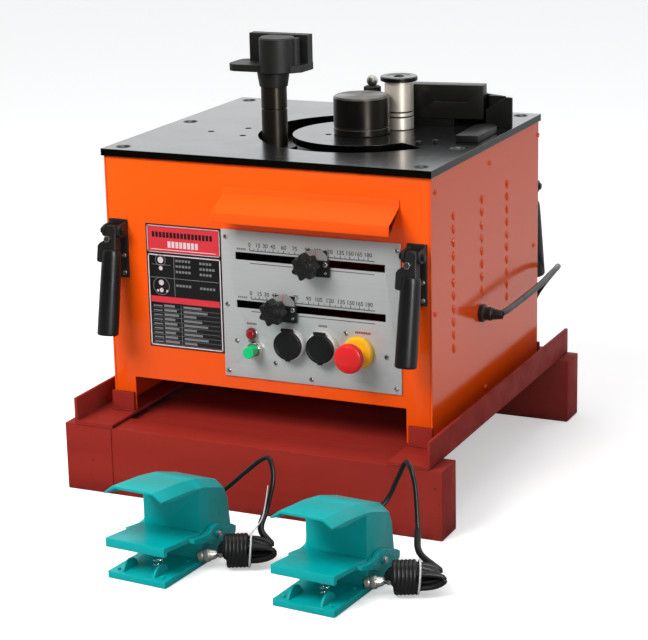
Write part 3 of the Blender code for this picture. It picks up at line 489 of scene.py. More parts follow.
printed("label_white", "label_print", (0.72, 0.6, 0.62), (0.6, 0.48, 0.5))
printed("label_grey", "label_print", grey(0.2), grey(0.12))
plastic("plastic", "black_plastic", (0.01, 0.01, 0.009), (0.018, 0.018, 0.017))
plastic("rubber", "black_rubber", grey(0.006), (0.011, 0.011, 0.01), 0.36, 0.1)
plastic("red", "red_plastic", (0.78, 0.016, 0.018), (0.66, 0.01, 0.013), 0.32, 0.06, 0.2)
plastic("yellow", "yellow_plastic", (0.95, 0.5, 0.012), (0.88, 0.4, 0.01), 0.4, 0.06)
plastic("green", "green_plastic", (0.002, 0.6, 0.19), (0.001, 0.5, 0.15), 0.25, 0.04, 0.3)
plastic("lamp", "lamp_red", (0.3, 0.008, 0.008), (0.18, 0.004, 0.004), 0.12, 0.02, 0.6)
# Painted highlight: the teal's edges wear to a paler teal, so that they also look lit.
paint("teal", "teal_paint", (0.0, 0.41, 0.41), (0.0, 0.34, 0.35), (0.2, 0.55, 0.52), 0.3, 0.6, 0.4, 0.25, 0.4)
steel("chrome", "chrome", (0.78, 0.78, 0.77), (0.62, 0.62, 0.6), 0.14, scratches=0.15)
steel("zinc", "bright_steel", (0.55, 0.54, 0.5), (0.4, 0.38, 0.34), 0.3, scratches=0.2)
steel("mandrel", "black_steel", (0.2, 0.19, 0.17), (0.13, 0.12, 0.105), 0.42, 0.9, 0.25, **MANDREL_TURNED)
steel("sleeve", "bright_steel", (0.85, 0.78, 0.67), (0.7, 0.63, 0.53), 0.4, 0.6, 0.2, centre=ROLLER_AXIS)
steel("cap", "black_steel", grey(0.2), (0.14, 0.14, 0.138), 0.3, 0.95, 0.3, **CAP_TURNED)
plastic("socket", "black_plastic", (0.75, 0.75, 0.73), (0.6, 0.6, 0.58), 0.3, 0.05)
plastic("cap_plastic", "black_plastic", grey(0.008), (0.014, 0.014, 0.013), 0.5)
steel("pointer", "black_plastic", (0.34, 0.34, 0.33), (0.24, 0.24, 0.23), 0.35, 0.2, 0.15)
plastic("tie", "black_rubber", (0.62, 0.63, 0.62), (0.52, 0.53, 0.52), 0.35, 0.05)


def add_piece(name, shapes, surface, body="machine", bevel=0.0, sharp=35, replaces=None):
    """Makes meshes in millimetres into a named piece that rides on a CAD body."""
    bm = clean(joined(*shapes) if isinstance(shapes, list) else shapes)
    bm.transform(TO_FRAME)
    mesh = bpy.data.meshes.new(name)
    bm.to_mesh(mesh)
    bm.free()
    mesh.shade_smooth()
    mesh.set_sharp_from_angle(angle=radians(sharp))
    made = new_object(name, mesh)
    material, slot = SURFACES[surface]
    mesh.materials.append(material)
    if bevel:
        add_bevel(made, bevel)
    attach(made, body)
    if replaces:
        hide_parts(replaces)
    return made


def add_bevel(target, width_mm, segments=3):
    rounding = target.modifiers.new("rounded_edges", "BEVEL")
    rounding.width = width_mm * 0.001
    rounding.segments = segments
    rounding.limit_method = "ANGLE"
    rounding.angle_limit = radians(38)
    rounding.harden_normals = True


# -------- CAD nodes that stay


def smoothing_group():
    """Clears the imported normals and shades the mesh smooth, apart from edges sharper than 32 degrees."""
    group = bpy.data.node_groups.new("smooth_by_angle", "GeometryNodeTree")
    for way in ("INPUT", "OUTPUT"):
        group.interface.new_socket("Geometry", in_out=way, socket_type="NodeSocketGeometry")
    nodes = group.nodes
    start = nodes.new("NodeGroupInput")
    plain = nodes.new("GeometryNodeRemoveAttribute")
    plain.inputs["Name"].default_value = "custom_normal"
    faces = nodes.new("GeometryNodeSetShadeSmooth")
    edges = nodes.new("GeometryNodeSetShadeSmooth")
    edges.domain = "EDGE"
    edges.inputs["Shade Smooth"].default_value = False
    angle = nodes.new("GeometryNodeInputMeshEdgeAngle")
    over = nodes.new("FunctionNodeCompare")
    over.operation = "GREATER_THAN"
    over.inputs[1].default_value = radians(32)
    end = nodes.new("NodeGroupOutput")
    wires = [(start, plain, 0), (plain, faces, "Geometry"), (faces, edges, "Geometry")]
    wires += [(angle, over, 0), (over, edges, "Selection"), (edges, end, 0)]
    for one, two, socket in wires:
        group.links.new(one.outputs[0], two.inputs[socket])
    return group


SMOOTHING = smoothing_group()


def dress(node, surface, bevel=0.0):
    """Gives a CAD node its finished material, joined corners, and a small round on its edges."""
    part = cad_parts[node]
    for slot in part.material_slots:
        slot.material = SURFACES[surface][0]
    weld = part.modifiers.new("weld", "WELD")
    weld.merge_threshold = 1e-5
    if bevel:
        flat = part.modifiers.new("merge_flats", "DECIMATE")
        flat.decimate_type = "DISSOLVE"
        flat.angle_limit = radians(0.5)
        add_bevel(part, bevel, 2)
    smooth = part.modifiers.new("smooth", "NODES")
    smooth.node_group = SMOOTHING


DRESSING = {
    "orange": {"cabinet_body": 0.8, "side_panel_left": 0, "side_panel_right": 0},
    "orange_soft": {"front_canopy": 4.0},
    "oxide": {"skid_beam_front": 2.5, "skid_beam_rear": 2.5, "skid_deck": 0.5}
    | {"skid_rail_left": 1.2, "skid_rail_right": 1.2},
    "plate": {"top_plate": 0},
    "blackened": {"fence_bar": 0.8, "fence_block": 0.8, "clamp_lever": 0.8},
    "cast": {"post_head": 0}
    | {f"handle_bracket_{end}_{side}": 0.8 for end in ("front", "rear") for side in ("left", "right")},
    "bright": {"mandrel_pin": 0, "fence_screw": 0},
    "gear": {"bending_wheel": 0, "step_gear": 0, "motor_pinion": 0, "main_bearing": 0},
    "iron": {"gear_plate": 1.0, "geared_motor": 0},
    "panel": {"control_panel": 0.3},
    "label": {"rating_plate": 0.3},
    "plastic": {"slider_upper": 0.8, "slider_lower": 0.8, "cable_gland": 0}
    | {"socket_left": 0, "socket_right": 0},
    "teal": {"pedal_body_left": 1.5, "pedal_body_right": 1.5, "treadle_left": 1.5, "treadle_right": 1.5},
}
for surface, parts in DRESSING.items():
    for node, bevel in parts.items():
        dress(node, surface, bevel)


# -------- fasteners


def screw_head(place, radius, axis="-Y", recess="cross", height=2.2):
    """A domed screw head with a cross or hexagon recess, facing along its axis."""
    dome = [(radius, 0), (radius, height * 0.35), (radius * 0.82, height * 0.8), (radius * 0.5, height)]
    inner, sides = radius * 0.42, 4
    if recess == "hex":
        dome = [(radius, 0), (radius, height * 0.8), (radius * 0.9, height), (radius * 0.55, height)]
        inner, sides = radius * 0.55, 6
    head = turned(dome, sides=24)
    rim = [head.verts.new(point) for point in circle(radius * 0.5, 24, height)]
    pit_top = [head.verts.new(point) for point in circle(inner, sides, height)]
    pit_low = [head.verts.new(point) for point in circle(inner * 0.8, sides, 0.4)]
    share = 24 // sides
    for k in range(sides):
        n = (k + 1) % sides
        head.faces.new((pit_top[k], pit_top[n], pit_low[n], pit_low[k]))
        fan = [rim[(k * share + i) % 24] for i in range(share + 1)]
        head.faces.new([pit_top[n], pit_top[k], *fan])
    head.faces.new(pit_low)
    head.transform(Matrix.Translation(place) @ AXIS_TURN[axis])
    return clean(head)


def hex_bolt(place, across, height, axis="Z"):
    """A bolt head with its chamfered top and washer face."""
    r = across / sqrt(3)
    head = prism(lobed((0, 0), r, 0, 1, 6), 0.6, height)
    washer = turned([(0, 0), (across * 0.5, 0), (across * 0.5, 0.8), (0, 0.8)], sides=24)
    crown = turned([(across * 0.46, height - 0.1), (across * 0.4, height + 0.4), (0, height + 0.4)], sides=24)
    return moved(joined(head, washer, crown), Matrix.Translation(place) @ AXIS_TURN[axis])


def flat_screw(place):
    """A countersunk screw that fills its hole, with a hexagon recess a little below the plate."""
    cone = [(11.4, 0.1), (10.9, -0.3), (8.6, -2.4), (8.2, -2.8)]
    recess = [(4.2, -2.8), (4.0, -3.2), (3.6, -6), (0, -6)]
    return turned(cone + recess, place, sides=40)


def build_plate_fasteners():
    """Countersunk screws round the top plate, and two bolts behind the roller."""
    top = PLATE_HIGH.z * 1000
    spots = ((-226, -200), (-226, 200), (226, -200), (226, 200), (-227, 4), (227, -66))
    add_piece("plate_screws", [flat_screw((x, y, top)) for x, y in spots], "rubber")
    bolts = [hex_bolt((x, y, top), 8, 4.5) for x, y in ((165, -56), (184, -40))]
    add_piece("plate_bolts", bolts, "blackened", bevel=0.3)


SIDE_WALLS = {"left": (-1, "-X"), "right": (1, "X")}  # side of the machine, and outward axis
WALL_X = PLATE_HIGH.x * 1000 - 2.5
LOUVRE_COLUMNS = ((-137.0, 11, 219.0), (-25.5, 8, 275.0), (79.7, 10, 238.0))  # y, how many, lowest z
LOUVRE_PITCH = 18.8


def build_side_screws():
    spots = ((-204, 456), (-207, 289), (6, 455), (216, 457), (200, 291), (-11, 128))
    for word, (side, axis) in SIDE_WALLS.items():
        heads = [screw_head((side * WALL_X, y, z), 3.6, axis) for y, z in spots]
        add_piece(f"side_screws_{word}", heads, "orange")


def build_louvre_hoods():
    """The pressed hood over each slot of the side panels."""
    dome = [(4.6, -0.6), (4.6, 0.3), (4.1, 1.5), (2.4, 2.5), (0, 2.8)]
    squeeze = Matrix.Diagonal((1.35, 0.85, 1, 1))
    for word, (side, axis) in SIDE_WALLS.items():
        hoods = []
        for y, count, lowest in LOUVRE_COLUMNS:
            for row in range(count):
                spot = Matrix.Translation((side * WALL_X, y, lowest + row * LOUVRE_PITCH + 3.2))
                hoods.append(moved(turned(dome, sides=20), spot @ AXIS_TURN[axis] @ squeeze))
        add_piece(f"louvre_hoods_{word}", hoods, "orange", sharp=60)


# -------- bending tools


def size_of_turned(node):
    """A turned node's middle x and y, its radius, and its lowest and highest z."""
    low, high = box_mm(node)
    middle = (low + high) / 2
    return middle.x, middle.y, (high.x - low.x) / 2, low.z, high.z


def build_tools():
    """Rounder versions of the turned tools, with the same sizes as their CAD nodes."""
    x, y, r, low, high = size_of_turned("mandrel")
    profile = [(0, low), (r - 1.2, low), (r, low + 1.5), (r, low + 9), (r - 1.2, low + 9.5)]
    profile += [(r - 1.2, low + 11.7), (r, low + 12.2), (r, high - 2.4), (r - 2.4, high), (0, high)]
    solid = turned(profile, (x, y, 0), sides=96)
    add_piece("mandrel_body", solid, "mandrel", "centre_former", replaces="mandrel")

    x, y, r, low, high = size_of_turned("support_roller")
    profile = [(10.4, low), (r - 0.8, low), (r, low + 0.8)]
    for groove in (low + 18.5, low + 25.5):
        profile += [(r, groove - 1.2), (r - 4, groove - 1), (r - 4, groove + 1), (r, groove + 1.2)]
    profile += [(r, high - 0.8), (r - 0.8, high), (10.4, high)]
    solid = turned(profile, (x, y, 0), sides=80)
    add_piece("roller_sleeve", solid, "sleeve", "roller", replaces="support_roller")

    build_painted_groove_shadows("mandrel", "centre_former", (10.6,), 0.6)
    build_painted_groove_shadows("support_roller", "roller", (18.5, 25.5), 1.5)
    build_post()
    build_roller_cap()
    build_nut()


def build_painted_groove_shadows(node, body, heights, depth):
    """Painted shadow: dark rings at the bottom of the turned grooves."""
    x, y, r, low, _ = size_of_turned(node)
    r -= depth
    rings = []
    for z in heights:
        band = [(r - 1, z - 0.9), (r, z - 0.9), (r, z + 0.9), (r - 1, z + 0.9)]
        rings.append(turned(band, (x, y, low), sides=80))
    add_piece(f"{node}_painted_groove_shadow", rings, "rubber", body)


def build_post():
    """The bending post with its groove, and the greased foot under the plate."""
    x, y, _, low, high = size_of_turned("bending_post")
    r, groove = 18.8, 523.0
    column = [(r, low + 5), (r, groove - 1.2), (r - 1.6, groove - 0.8), (r - 1.6, groove + 0.8)]
    column += [(r, groove + 1.2), (r, 555), (12, 555), (12, high - 1), (11, high), (0, high)]
    shaft = turned(column, (x, y, 0), sides=80)
    add_piece("post_column", shaft, "post", "bending_arm", replaces="bending_post")
    foot = [(0, low), (32, low), (32, low + 3.7), (r, low + 4.7), (0, low + 5)]
    add_piece("post_foot", turned(foot, (x, y, 0), sides=64), "rubber", "bending_arm")


def build_roller_cap():
    """The roller's pin, its dished cap and the screw in the cap."""
    x, y, r, low, top = size_of_turned("roller_pin")
    cap = [(10, low + 14), (10, top - 6.9), (r - 0.6, top - 6.9), (r, top - 6.3), (r, top - 1.2)]
    cap += [(r - 1.2, top), (r - 9.5, top), (r - 10.5, top - 0.8), (9.5, top - 0.8), (8.2, top - 1.2)]
    cap += [(7.7, top - 2.4), (0, top - 2.4)]
    stem = [(0, low), (16, low), (16, low + 11.7), (10, low + 11.7), (10, low + 20)]
    solids = [turned(cap, (x, y, 0), sides=80), turned(stem, (x, y, 0))]
    add_piece("roller_cap", solids, "cap", replaces="roller_pin")
    screw = screw_head((x, y, top - 3.2), 6.4, "Z", "hex", 3.6)
    add_piece("roller_cap_screw", screw, "cast")


def build_nut():
    """The knurled clamp nut with its polished ball."""
    x, y, r, low, high = size_of_turned("clamp_nut")
    seat, shoulder = low + 16, low + 53
    knurl = prism(lobed((x, y), r, 1.6, 26, 156), seat, shoulder)
    rim = turned([(0, shoulder), (r - 1.2, shoulder), (r - 3, low + 54.5), (4, low + 54.5)], (x, y, 0))
    stud = turned([(0, low), (5, low), (5, low + 18), (0, low + 18)], (x, y, 0), sides=32)
    add_piece("nut_knurl", [knurl, rim, stud], "cast", "clamp_nut", 0.3, replaces="clamp_nut")
    centre = high - 8.4
    angles = [radians(-60 + 150 * i / 14) for i in range(15)]
    ball = [(4, shoulder)] + [(8.4 * cos(a), centre + 8.4 * sin(a)) for a in angles]
    add_piece("nut_ball", turned(ball, (x, y, 0), sides=40), "zinc", "clamp_nut")


# -------- front panel


FACE_Y = box_mm("control_panel")[0].y
INK = 0.12  # how thick a print is
INK_Y = FACE_Y - INK
MARK_X = (-21, -8, 3, 15, 31, 48, 67, 82, 99, 116, 130, 143, 157)
SCALES = {"upper": 349.5, "lower": 280.5}  # middle of each slot


def ink_bar(x0, x1, z0, z1, y=INK_Y):
    """A thin printed bar on a front face."""
    return box((x0, y, z0), (x1, y + INK, z1))


def figure(text, x, z, height, y):
    """A number in plain type that stands on a front face."""
    curve = bpy.data.curves.new("figure", "FONT")
    curve.body = text
    curve.size = height * 1.35
    curve.align_x = "CENTER"
    curve.extrude = 0.05
    curve.offset = height * 0.03
    helper = bpy.data.objects.new("figure", curve)
    mesh = bpy.data.meshes.new_from_object(helper)
    bm = bmesh.new()
    bm.from_mesh(mesh)
    bpy.data.objects.remove(helper)
    bpy.data.curves.remove(curve)
    bpy.data.meshes.remove(mesh)
    bm.transform(Matrix.Translation((x, y, z)) @ Matrix.Rotation(radians(90), 4, "X"))
    return bm


def build_scales():
    """A graduated scale over each slot, with a plain angle figure at each mark."""
    for word, z in SCALES.items():
        shapes = [ink_bar(-21, 166, z + 8.2, z + 9.6), ink_bar(-21, 166, z - 9.8, z - 8.6)]
        for i, x in enumerate(MARK_X):
            shapes.append(ink_bar(x - 0.6, x + 0.6, z + 9.6, z + 13.2))
            if i + 1 < len(MARK_X):
                half = (x + MARK_X[i + 1]) / 2
                shapes.append(ink_bar(half - 0.4, half + 0.4, z + 9.6, z + 12))
            shapes.append(figure(str(i * 15), x, z + 14.4, 6.0, INK_Y))
        shapes += [ink_bar(x, x + 2.0, z + 9, z + 11.5) for x in (-41, -38, -35, -32, -29)]
        add_piece(f"scale_{word}", shapes, "ink")


def caption(x, z, letters, width=2.2, height=3.0):
    """A row of plain blocks where the machine has a printed word."""
    start = x - letters * width / 2
    return [ink_bar(start + i * width, start + (i + 0.72) * width, z, z + height) for i in range(letters)]


def build_captions():
    shapes = caption(-21, 252, 7) + caption(-19, 226.5, 7, 2.4, 2.4)
    shapes += caption(39, 259, 6) + caption(88, 259, 6)
    add_piece("captions", shapes, "ink")
    add_piece("caption_stop", caption(148, 255, 9, 2.6, 3.2), "label_dark_red")


def build_panel_screws():
    spots = ((-58, 376), (199, 376), (-58, 279), (-45, 227), (-59, 182), (69, 182), (182, 226), (196, 182))
    spots += ((122, 254), (14, 200))
    heads = [screw_head((x, FACE_Y, z), 3.1) for x, z in spots]
    add_piece("panel_screws", heads, "zinc")


def build_label():
    """The rating label: frames, a red head and a red band, with plain bars where the words are."""
    low, high = box_mm("rating_plate")
    y = low.y - 0.1
    wide, tall = high.x - low.x, high.z - low.z
    head = tall - 42

    def bar(a, b, c, d, lift=0.0):
        return ink_bar(low.x + a, low.x + b, low.z + c, low.z + d, y - lift)

    def disc(x, z, profile, sides=64):
        return turned(profile, (low.x + x, y + INK, low.z + z), "-Y", sides)

    red = [bar(3, wide - 3, head + 2, tall - 3), bar(5, wide - 5, 66, 75)]
    add_piece("label_red_fields", red, "label_red")
    frames = []
    for a, b, c, d in ((2, wide - 2, head + 1, tall - 2), (2, wide - 2, 2, head - 2)):
        frames += [bar(a, b, c, c + 1.6), bar(a, b, d - 1.6, d), bar(a, a + 1.6, c, d), bar(b - 1.6, b, c, d)]
    frames += [bar(10 + 6.2 * i, 14.6 + 6.2 * i, head + 9, head + 18, INK) for i in range(4, 12)]
    frames.append(bar(8, wide - 8, head + 5, head + 6, INK))
    for x, z, r in ((22, 128, 4.6), (22, 116, 3), (22, 95, 4), (22, 84, 3.2), (31, 83, 1.8), (16, 83, 1.8)):
        frames.append(disc(x, z, [(0, 0.14), (r, 0.14), (r, 0)], 24))
    add_piece("label_frames", frames, "label_white")
    dark = [bar(10 + 5.7 * i, 14.2 + 5.7 * i, head + 23, head + 31, INK) for i in range(17)]
    add_piece("label_head_bars", dark, "label")
    lines = [bar(43, 43.8, 76, head - 4), bar(5, wide - 5, 102, 102.8), bar(8, 38, 121, 121.6)]
    lines += [bar(52, 52.6, 5, 64)]
    for row, z in enumerate((127, 119, 111, 91)):
        lines += [bar(46 + 5 * i, 49.6 + 5 * i, z, z + 3.4) for i in range(5)]
        lines += [bar(84 + 5 * i, 87.6 + 5 * i, z - 1, z + 2.4) for i in range(4 + row % 2)]
    for row in range(9):
        z = 7 + row * 6.6
        lines += [bar(8, 22, z, z + 1.8), bar(25, 48 - 3 * (row % 3), z, z + 3.4)]
        lines += [bar(5, wide - 5, z - 2, z - 1.6), bar(56, 76 + 9 * ((row * 2) % 3), z, z + 3.2)]
    for x, z, r in ((22, 128, 8.4), (22, 90, 13)):
        lines.append(disc(x, z, [(r, 0.1), (r, 0.16), (r - 0.8, 0.16), (r - 0.8, 0.1)]))
    add_piece("label_table", lines, "label_grey")


def build_knobs():
    """Star knobs with ribbed lobes, their grey pointers and the carriage screws."""
    for word in SCALES:
        node = f"knob_{word}"
        low, high = box_mm(node)
        x, _, z = middle_mm(node)
        front, depth = low.y, high.y - low.y
        r = (high.x - low.x) / 2
        star = prism(lobed((x, z), r + 0.6, 4.6, 7, 112), front + 1, front + 19, "Y")
        add_piece(f"{node}_star", star, "plastic", node, 1.8, replaces=node)
        hub = turned([(11, 0), (11.5, depth - 18), (0, depth - 18)], (x, high.y, z), "-Y", 40)
        dish = [(12.5, 17.2), (12.5, 20), (11.5, 20.6), (10.8, 19.4), (8.6, 19.0), (7.6, 20.4)]
        dish += [(6.4, 20.4), (5.8, 18.8), (0, 18.6)]
        rim = turned(dish, (x, front + 20.6, z), "-Y", 48)
        ribs = []
        for k in range(7):
            rib = box((x + 7, front + 0.2, z - 0.9), (x + 14.5, front + 3, z + 0.9))
            ribs.append(moved(rib, about((x, 0, z), 360 * k / 7, "Y")))
        add_piece(f"{node}_face", [hub, rim, *ribs], "plastic", node, 0.3)
        slide = f"slider_{word}"
        face = FACE_Y - 5.4
        flap = [(x - 9, z + 2), (x + 23, z + 2), (x + 23, z + 11), (x + 15, z + 19), (x + 3, z + 20)]
        flap.append((x - 9, z + 15))
        add_piece(f"pointer_{word}", prism(flap, face + 1.6, face + 2.9, "Y"), "pointer", slide, 0.4)
        line = box((x + 5.4, face + 1.3, z + 3), (x + 6.2, face + 1.8, z + 20))
        add_piece(f"pointer_line_{word}", line, "label_red", slide)
        heads = [screw_head((x + 21, face, z), 3.8, height=3.4), screw_head((x - 21, face, z - 9), 2.4)]
        heads.append(screw_head((x + 21, face, z - 12), 2.4))
        add_piece(f"slider_screws_{word}", heads, "chrome", slide)


def on_panel(node, profile, rounding, sides, steps=3):
    """A turned piece that stands out of the panel where a CAD node does."""
    x, _, z = middle_mm(node)
    return turned(rounded(profile, rounding, steps), (x, FACE_Y, z), "-Y", sides)


def reach_of(node):
    """How far a node stands out of the panel."""
    return FACE_Y - box_mm(node)[0].y


def build_switches():
    """Lamp, start button and emergency stop."""
    lens = on_panel("power_lamp", [(7.2, 1), (7.2, 5.5), (4.5, 8.6), (0, 9.4)], 3, 40, 6)
    add_piece("lamp_lens", lens, "lamp", replaces="power_lamp")
    collar = [(6, -2), (6, 0), (9.4, 0), (9.4, 2.6), (7.4, 3.6), (7.0, 1)]
    add_piece("lamp_collar", on_panel("power_lamp", collar, 0.8, 40), "zinc")

    bezel = [(6.5, -2), (6.5, 0), (11.2, 0), (11.2, 7), (9.6, 9.2), (8.8, 9.2), (8.7, 2)]
    solid = on_panel("button_bezel", bezel, 1.0, 48)
    add_piece("start_bezel", solid, "chrome", replaces="button_bezel")
    tip = reach_of("start_button")
    button = [(4, -4), (4, 5), (8.4, 6), (8.4, tip - 0.4), (6.5, tip), (0, tip - 0.4)]
    solid = on_panel("button_bezel", button, 1.4, 48)
    add_piece("start_cap", solid, "green", "start_button", replaces="start_button")

    ring = [(9, -2), (9, 0), (22.8, 0), (22.8, 4.5), (20.5, 8.6), (11, 8.8), (9, 8.8)]
    solid = on_panel("estop_ring", ring, 1.6, 72)
    add_piece("stop_ring", solid, "yellow", replaces="estop_ring")
    tip = reach_of("estop_button")
    head = [(8, -4), (8, tip - 26), (12, tip - 22), (19.6, tip - 15), (21, tip - 10)]
    head += [(20.4, tip - 3.4), (13, tip - 0.6), (0, tip)]
    solid = on_panel("estop_ring", head, 5, 80, 6)
    add_piece("stop_head", solid, "red", "estop_button", sharp=60, replaces="estop_button")


def build_sockets():
    """The pedal sockets with their contact pins, and the hinged caps."""
    for word in ("left", "right"):
        node = f"socket_{word}"
        x, _, z = middle_mm(node)
        ring = [(15.2, -1), (15.2, 9.1), (17, 9.4), (22.0, 9.4), (22.6, 8.4), (22.6, 0.1), (21.5, 0)]
        add_piece(f"socket_ring_{word}", on_panel(node, ring, 0.7, 64), "socket")
        pins = []
        for a in ring_angles(5):
            spot = (x + 7 * cos(a), FACE_Y, z + 7 * sin(a))
            pins.append(turned([(1.6, -6), (1.6, 2), (0, 3)], spot, "-Y", 16))
        add_piece(f"socket_pins_{word}", pins, "bright")
        node = f"socket_cap_{word}"
        out = reach_of(node)
        edge = [(18.5, out - 6), (20.6, out - 5.6), (20.6, out - 1), (19.4, out), (17, out - 0.2)]
        lid = rounded(edge + [(16.2, out - 1)], 0.9) + [(12, out - 1), (0, out - 1)]
        cap = turned(lid, (x, FACE_Y, z), "-Y", 64)
        top = FACE_Y - out + 6
        hinge = box((x - 8, top - 5, z + 15), (x + 8, top - 1, z + 24))
        lip = box((x - 3.6, top - 4.6, z - 22.6), (x + 3.6, top - 1.4, z - 15))
        barrel = turned([(0, -9), (2.2, -9), (2.2, 9), (0, 9)], (x, FACE_Y - 12.7, z + 22), "X", 20)
        solid = joined(cap, hinge, lip, barrel)
        add_piece(f"{node}_lid", solid, "cap_plastic", node, 0.7, replaces=node)


# -------- handles


HANDLE_X, HANDLE_OUT, HANDLE_Z = 228, 237, 374  # how far each pivot is from the middle, and its height
HANDLE_HANG = 11  # degrees from upright
BRACKET_FACE = 223.3


def build_handles():
    """Cast hinge blocks with a moulded grip, and the bolts of their brackets."""
    for end, face in (("front", -1), ("rear", 1)):
        for word, side in (("left", -1), ("right", 1)):
            build_handle(f"{end}_{word}", side * HANDLE_X, face)


def build_handle(label, x, face):
    out, z = face * HANDLE_OUT, HANDLE_Z
    axis = "-Y" if face < 0 else "Y"
    swing = about((x, out, z), face * HANDLE_HANG, "X")
    node = f"carry_handle_{label}"
    casting = [(x - 6, z + 8), (x + 6, z + 8), (x + 9, z + 3), (x + 9, z - 14), (x + 10, z - 24)]
    casting += [(x + 10, z - 44), (x - 12, z - 46), (x - 20, z - 45), (x - 20, z - 22), (x - 17, z - 18)]
    casting += [(x - 10, z - 14), (x - 9, z - 8), (x - 9, z + 3)]
    body = moved(prism(casting, out - 8.4, out + 8.4, "Y"), swing)
    add_piece(f"{node}_casting", body, "cast", node, 2.4, replaces=node)
    grip = [(0, -149), (13.2, -149), (15.2, -147), (15.1, -128), (14.6, -76), (14.2, -52)]
    grip += [(13.8, -34), (12.6, -27), (0, -26)]
    sleeve = turned(rounded(grip, 2.2, 4), (x, out, z), sides=56)
    add_piece(f"{node}_grip", moved(sleeve, swing), "rubber", node, sharp=50)
    bolt = hex_bolt((x - 3, out + face * 8.2, z - 12), 9, 4, axis)
    add_piece(f"{node}_bolt", moved(bolt, swing), "bright", node, 0.3)
    pins = [hex_bolt((x + e * 14, out, z), 9, 4, "X" if e > 0 else "-X") for e in (-1, 1)]
    add_piece(f"handle_bolts_{label}", pins, "blackened", bevel=0.3)
    spots = [(x + e * 9, face * BRACKET_FACE, height) for e in (-1, 1) for height in (311, 336)]
    heads = [screw_head(spot, 3.2, axis, "hex", 2.6) for spot in spots]
    add_piece(f"bracket_screws_{label}", heads, "zinc")


# -------- skid, cord and pedals


def weld_bead(start, end, radius, seed):
    """A rippled bead of weld from start to end."""
    a, b = Vector(start), Vector(end)
    count = max(8, int((b - a).length / 2.2))
    points = [a.lerp(b, k / count) for k in range(count + 1)]
    return swept(points, lambda t: radius * (0.85 + 0.2 * sin(t * count * 1.6 + seed)), 8)


def build_welds():
    """Beads where the rails cross the beams and the cabinet meets the rails, and a seam up the front beam."""
    beads = []
    for k, side in enumerate((-1, 1)):
        for j, y in enumerate((-292.5, -242.5, 244.5, 292)):
            beads.append(weld_bead((side * 270.6, y, 99.6), (side * 211.6, y, 99.6), 1.7, k + j))
        for y in (-226.6, 226.6):
            beads.append(weld_bead((side * 214, y, 105), (side * 250, y, 105), 1.8, k))
    beads.append(weld_bead((-215, -293.2, 3), (-215, -293.2, 97), 0.9, 2))
    add_piece("skid_welds", beads, "oxide")


GLAND = (247.5, -31, 245)  # where the cord leaves the side wall


def build_cord():
    """The power cord, with the nut and the ribbed sleeve of its gland."""
    x, y, z = GLAND
    path = [(x - 14, y, z), (x + 8, y, z), (x + 21, y, z), (x + 27, y + 4, z), (x + 31, y + 26, z)]
    path += [(x + 32, 60, z + 1), (x + 31, 140, z + 2), (x + 27, 200, z + 3), (x + 20, 255, z)]
    path += [(x + 4, 292, z - 14), (x - 36, 318, z - 66), (176, 336, 104), (142, 352, 32)]
    path += [(112, 362, 8), (66, 368, 6), (20, 350, 6), (-20, 366, 6)]
    cord = swept(smooth_path(path, 8), 4.5, 14)
    add_piece("power_cord_sheath", cord, "rubber", sharp=60, replaces="power_cord")
    relief = [(5.2, 12), (9.6, 12), (9.6, 17), (8.4, 18.4)]
    for k in range(5):
        relief += [(8.2 - k * 0.5, 19 + k * 3), (8.2 - k * 0.5, 20.6 + k * 3), (6.4 - k * 0.2, 21 + k * 3)]
    nut = prism(lobed((y, z), 13.2, 1.4, 6, 36), x + 0.5, x + 6.5, "X")
    add_piece("gland_nut", [nut, turned(relief, GLAND, "X", 40)], "plastic", bevel=0.4)


PEDALS = {"left": (-23, -568), "right": (214, -571)}
PEDAL_TURN = -5  # degrees
# The cable's way from the pedal to the hank, in the pedal's own millimetres.
PEDAL_ARCH = {
    "left": [(12, 161, 62), (32, 172, 78), (60, 178, 104), (84, 180, 124), (98, 176, 126), (108, 166, 104)]
    + [(106, 152, 68), (104, 138, 44)],
    "right": [(12, 161, 72), (24, 182, 92), (34, 190, 118), (47, 188, 142), (60, 178, 138), (68, 174, 112)]
    + [(78, 160, 66), (90, 140, 44)],
}


def build_pedals():
    for word, place in PEDALS.items():
        place_it = Matrix.Translation((*place, 0)) @ Matrix.Rotation(radians(PEDAL_TURN), 4, "Z")
        build_pedal(word, place_it)
        build_hank(word, place_it)


def build_pedal(word, place):
    """The coil spring, rivets, side plug and pivot bolts of one pedal."""
    body = f"pedal_{word}"
    turns, steps, low, high = 5, 28, 11.2, 43.6
    coil = []
    for k in range(turns * steps + 1):
        angle = tau * k / steps
        share = k / (turns * steps)
        coil.append((12 + 6 * cos(angle), 34 + 6 * sin(angle), low + (high - low) * share))
    wire = moved(swept(coil, 1.05, 10), place)
    plain = f"pedal_spring_{word}"
    spring = add_piece(f"treadle_spring_{word}", wire, "chrome", body, sharp=70, replaces=plain)
    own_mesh(spring)
    head = [(0, 0), (2.2, 0), (2.2, 3), (0, 3.6)]
    rivets = [turned(head, (x, y, 9), sides=20) for x in (-34, 34) for y in (10, 70)]
    add_piece(f"pedal_rivets_{word}", moved(joined(*rivets), place), "teal", body, 0.4)
    plug = turned([(3.4, -0.4), (4.4, 0.3), (3.0, 0.35), (2.6, -1.2), (0, -1.2)], (44.2, 122, 44), "X", 28)
    add_piece(f"pedal_plug_{word}", moved(plug, place), "plastic", body)
    bolts = [hex_bolt((e * 55, 112, 38), 8, 3, "X" if e > 0 else "-X") for e in (-1, 1)]
    add_piece(f"pedal_pivot_{word}", moved(joined(*bolts), place), "zinc", body, 0.3)


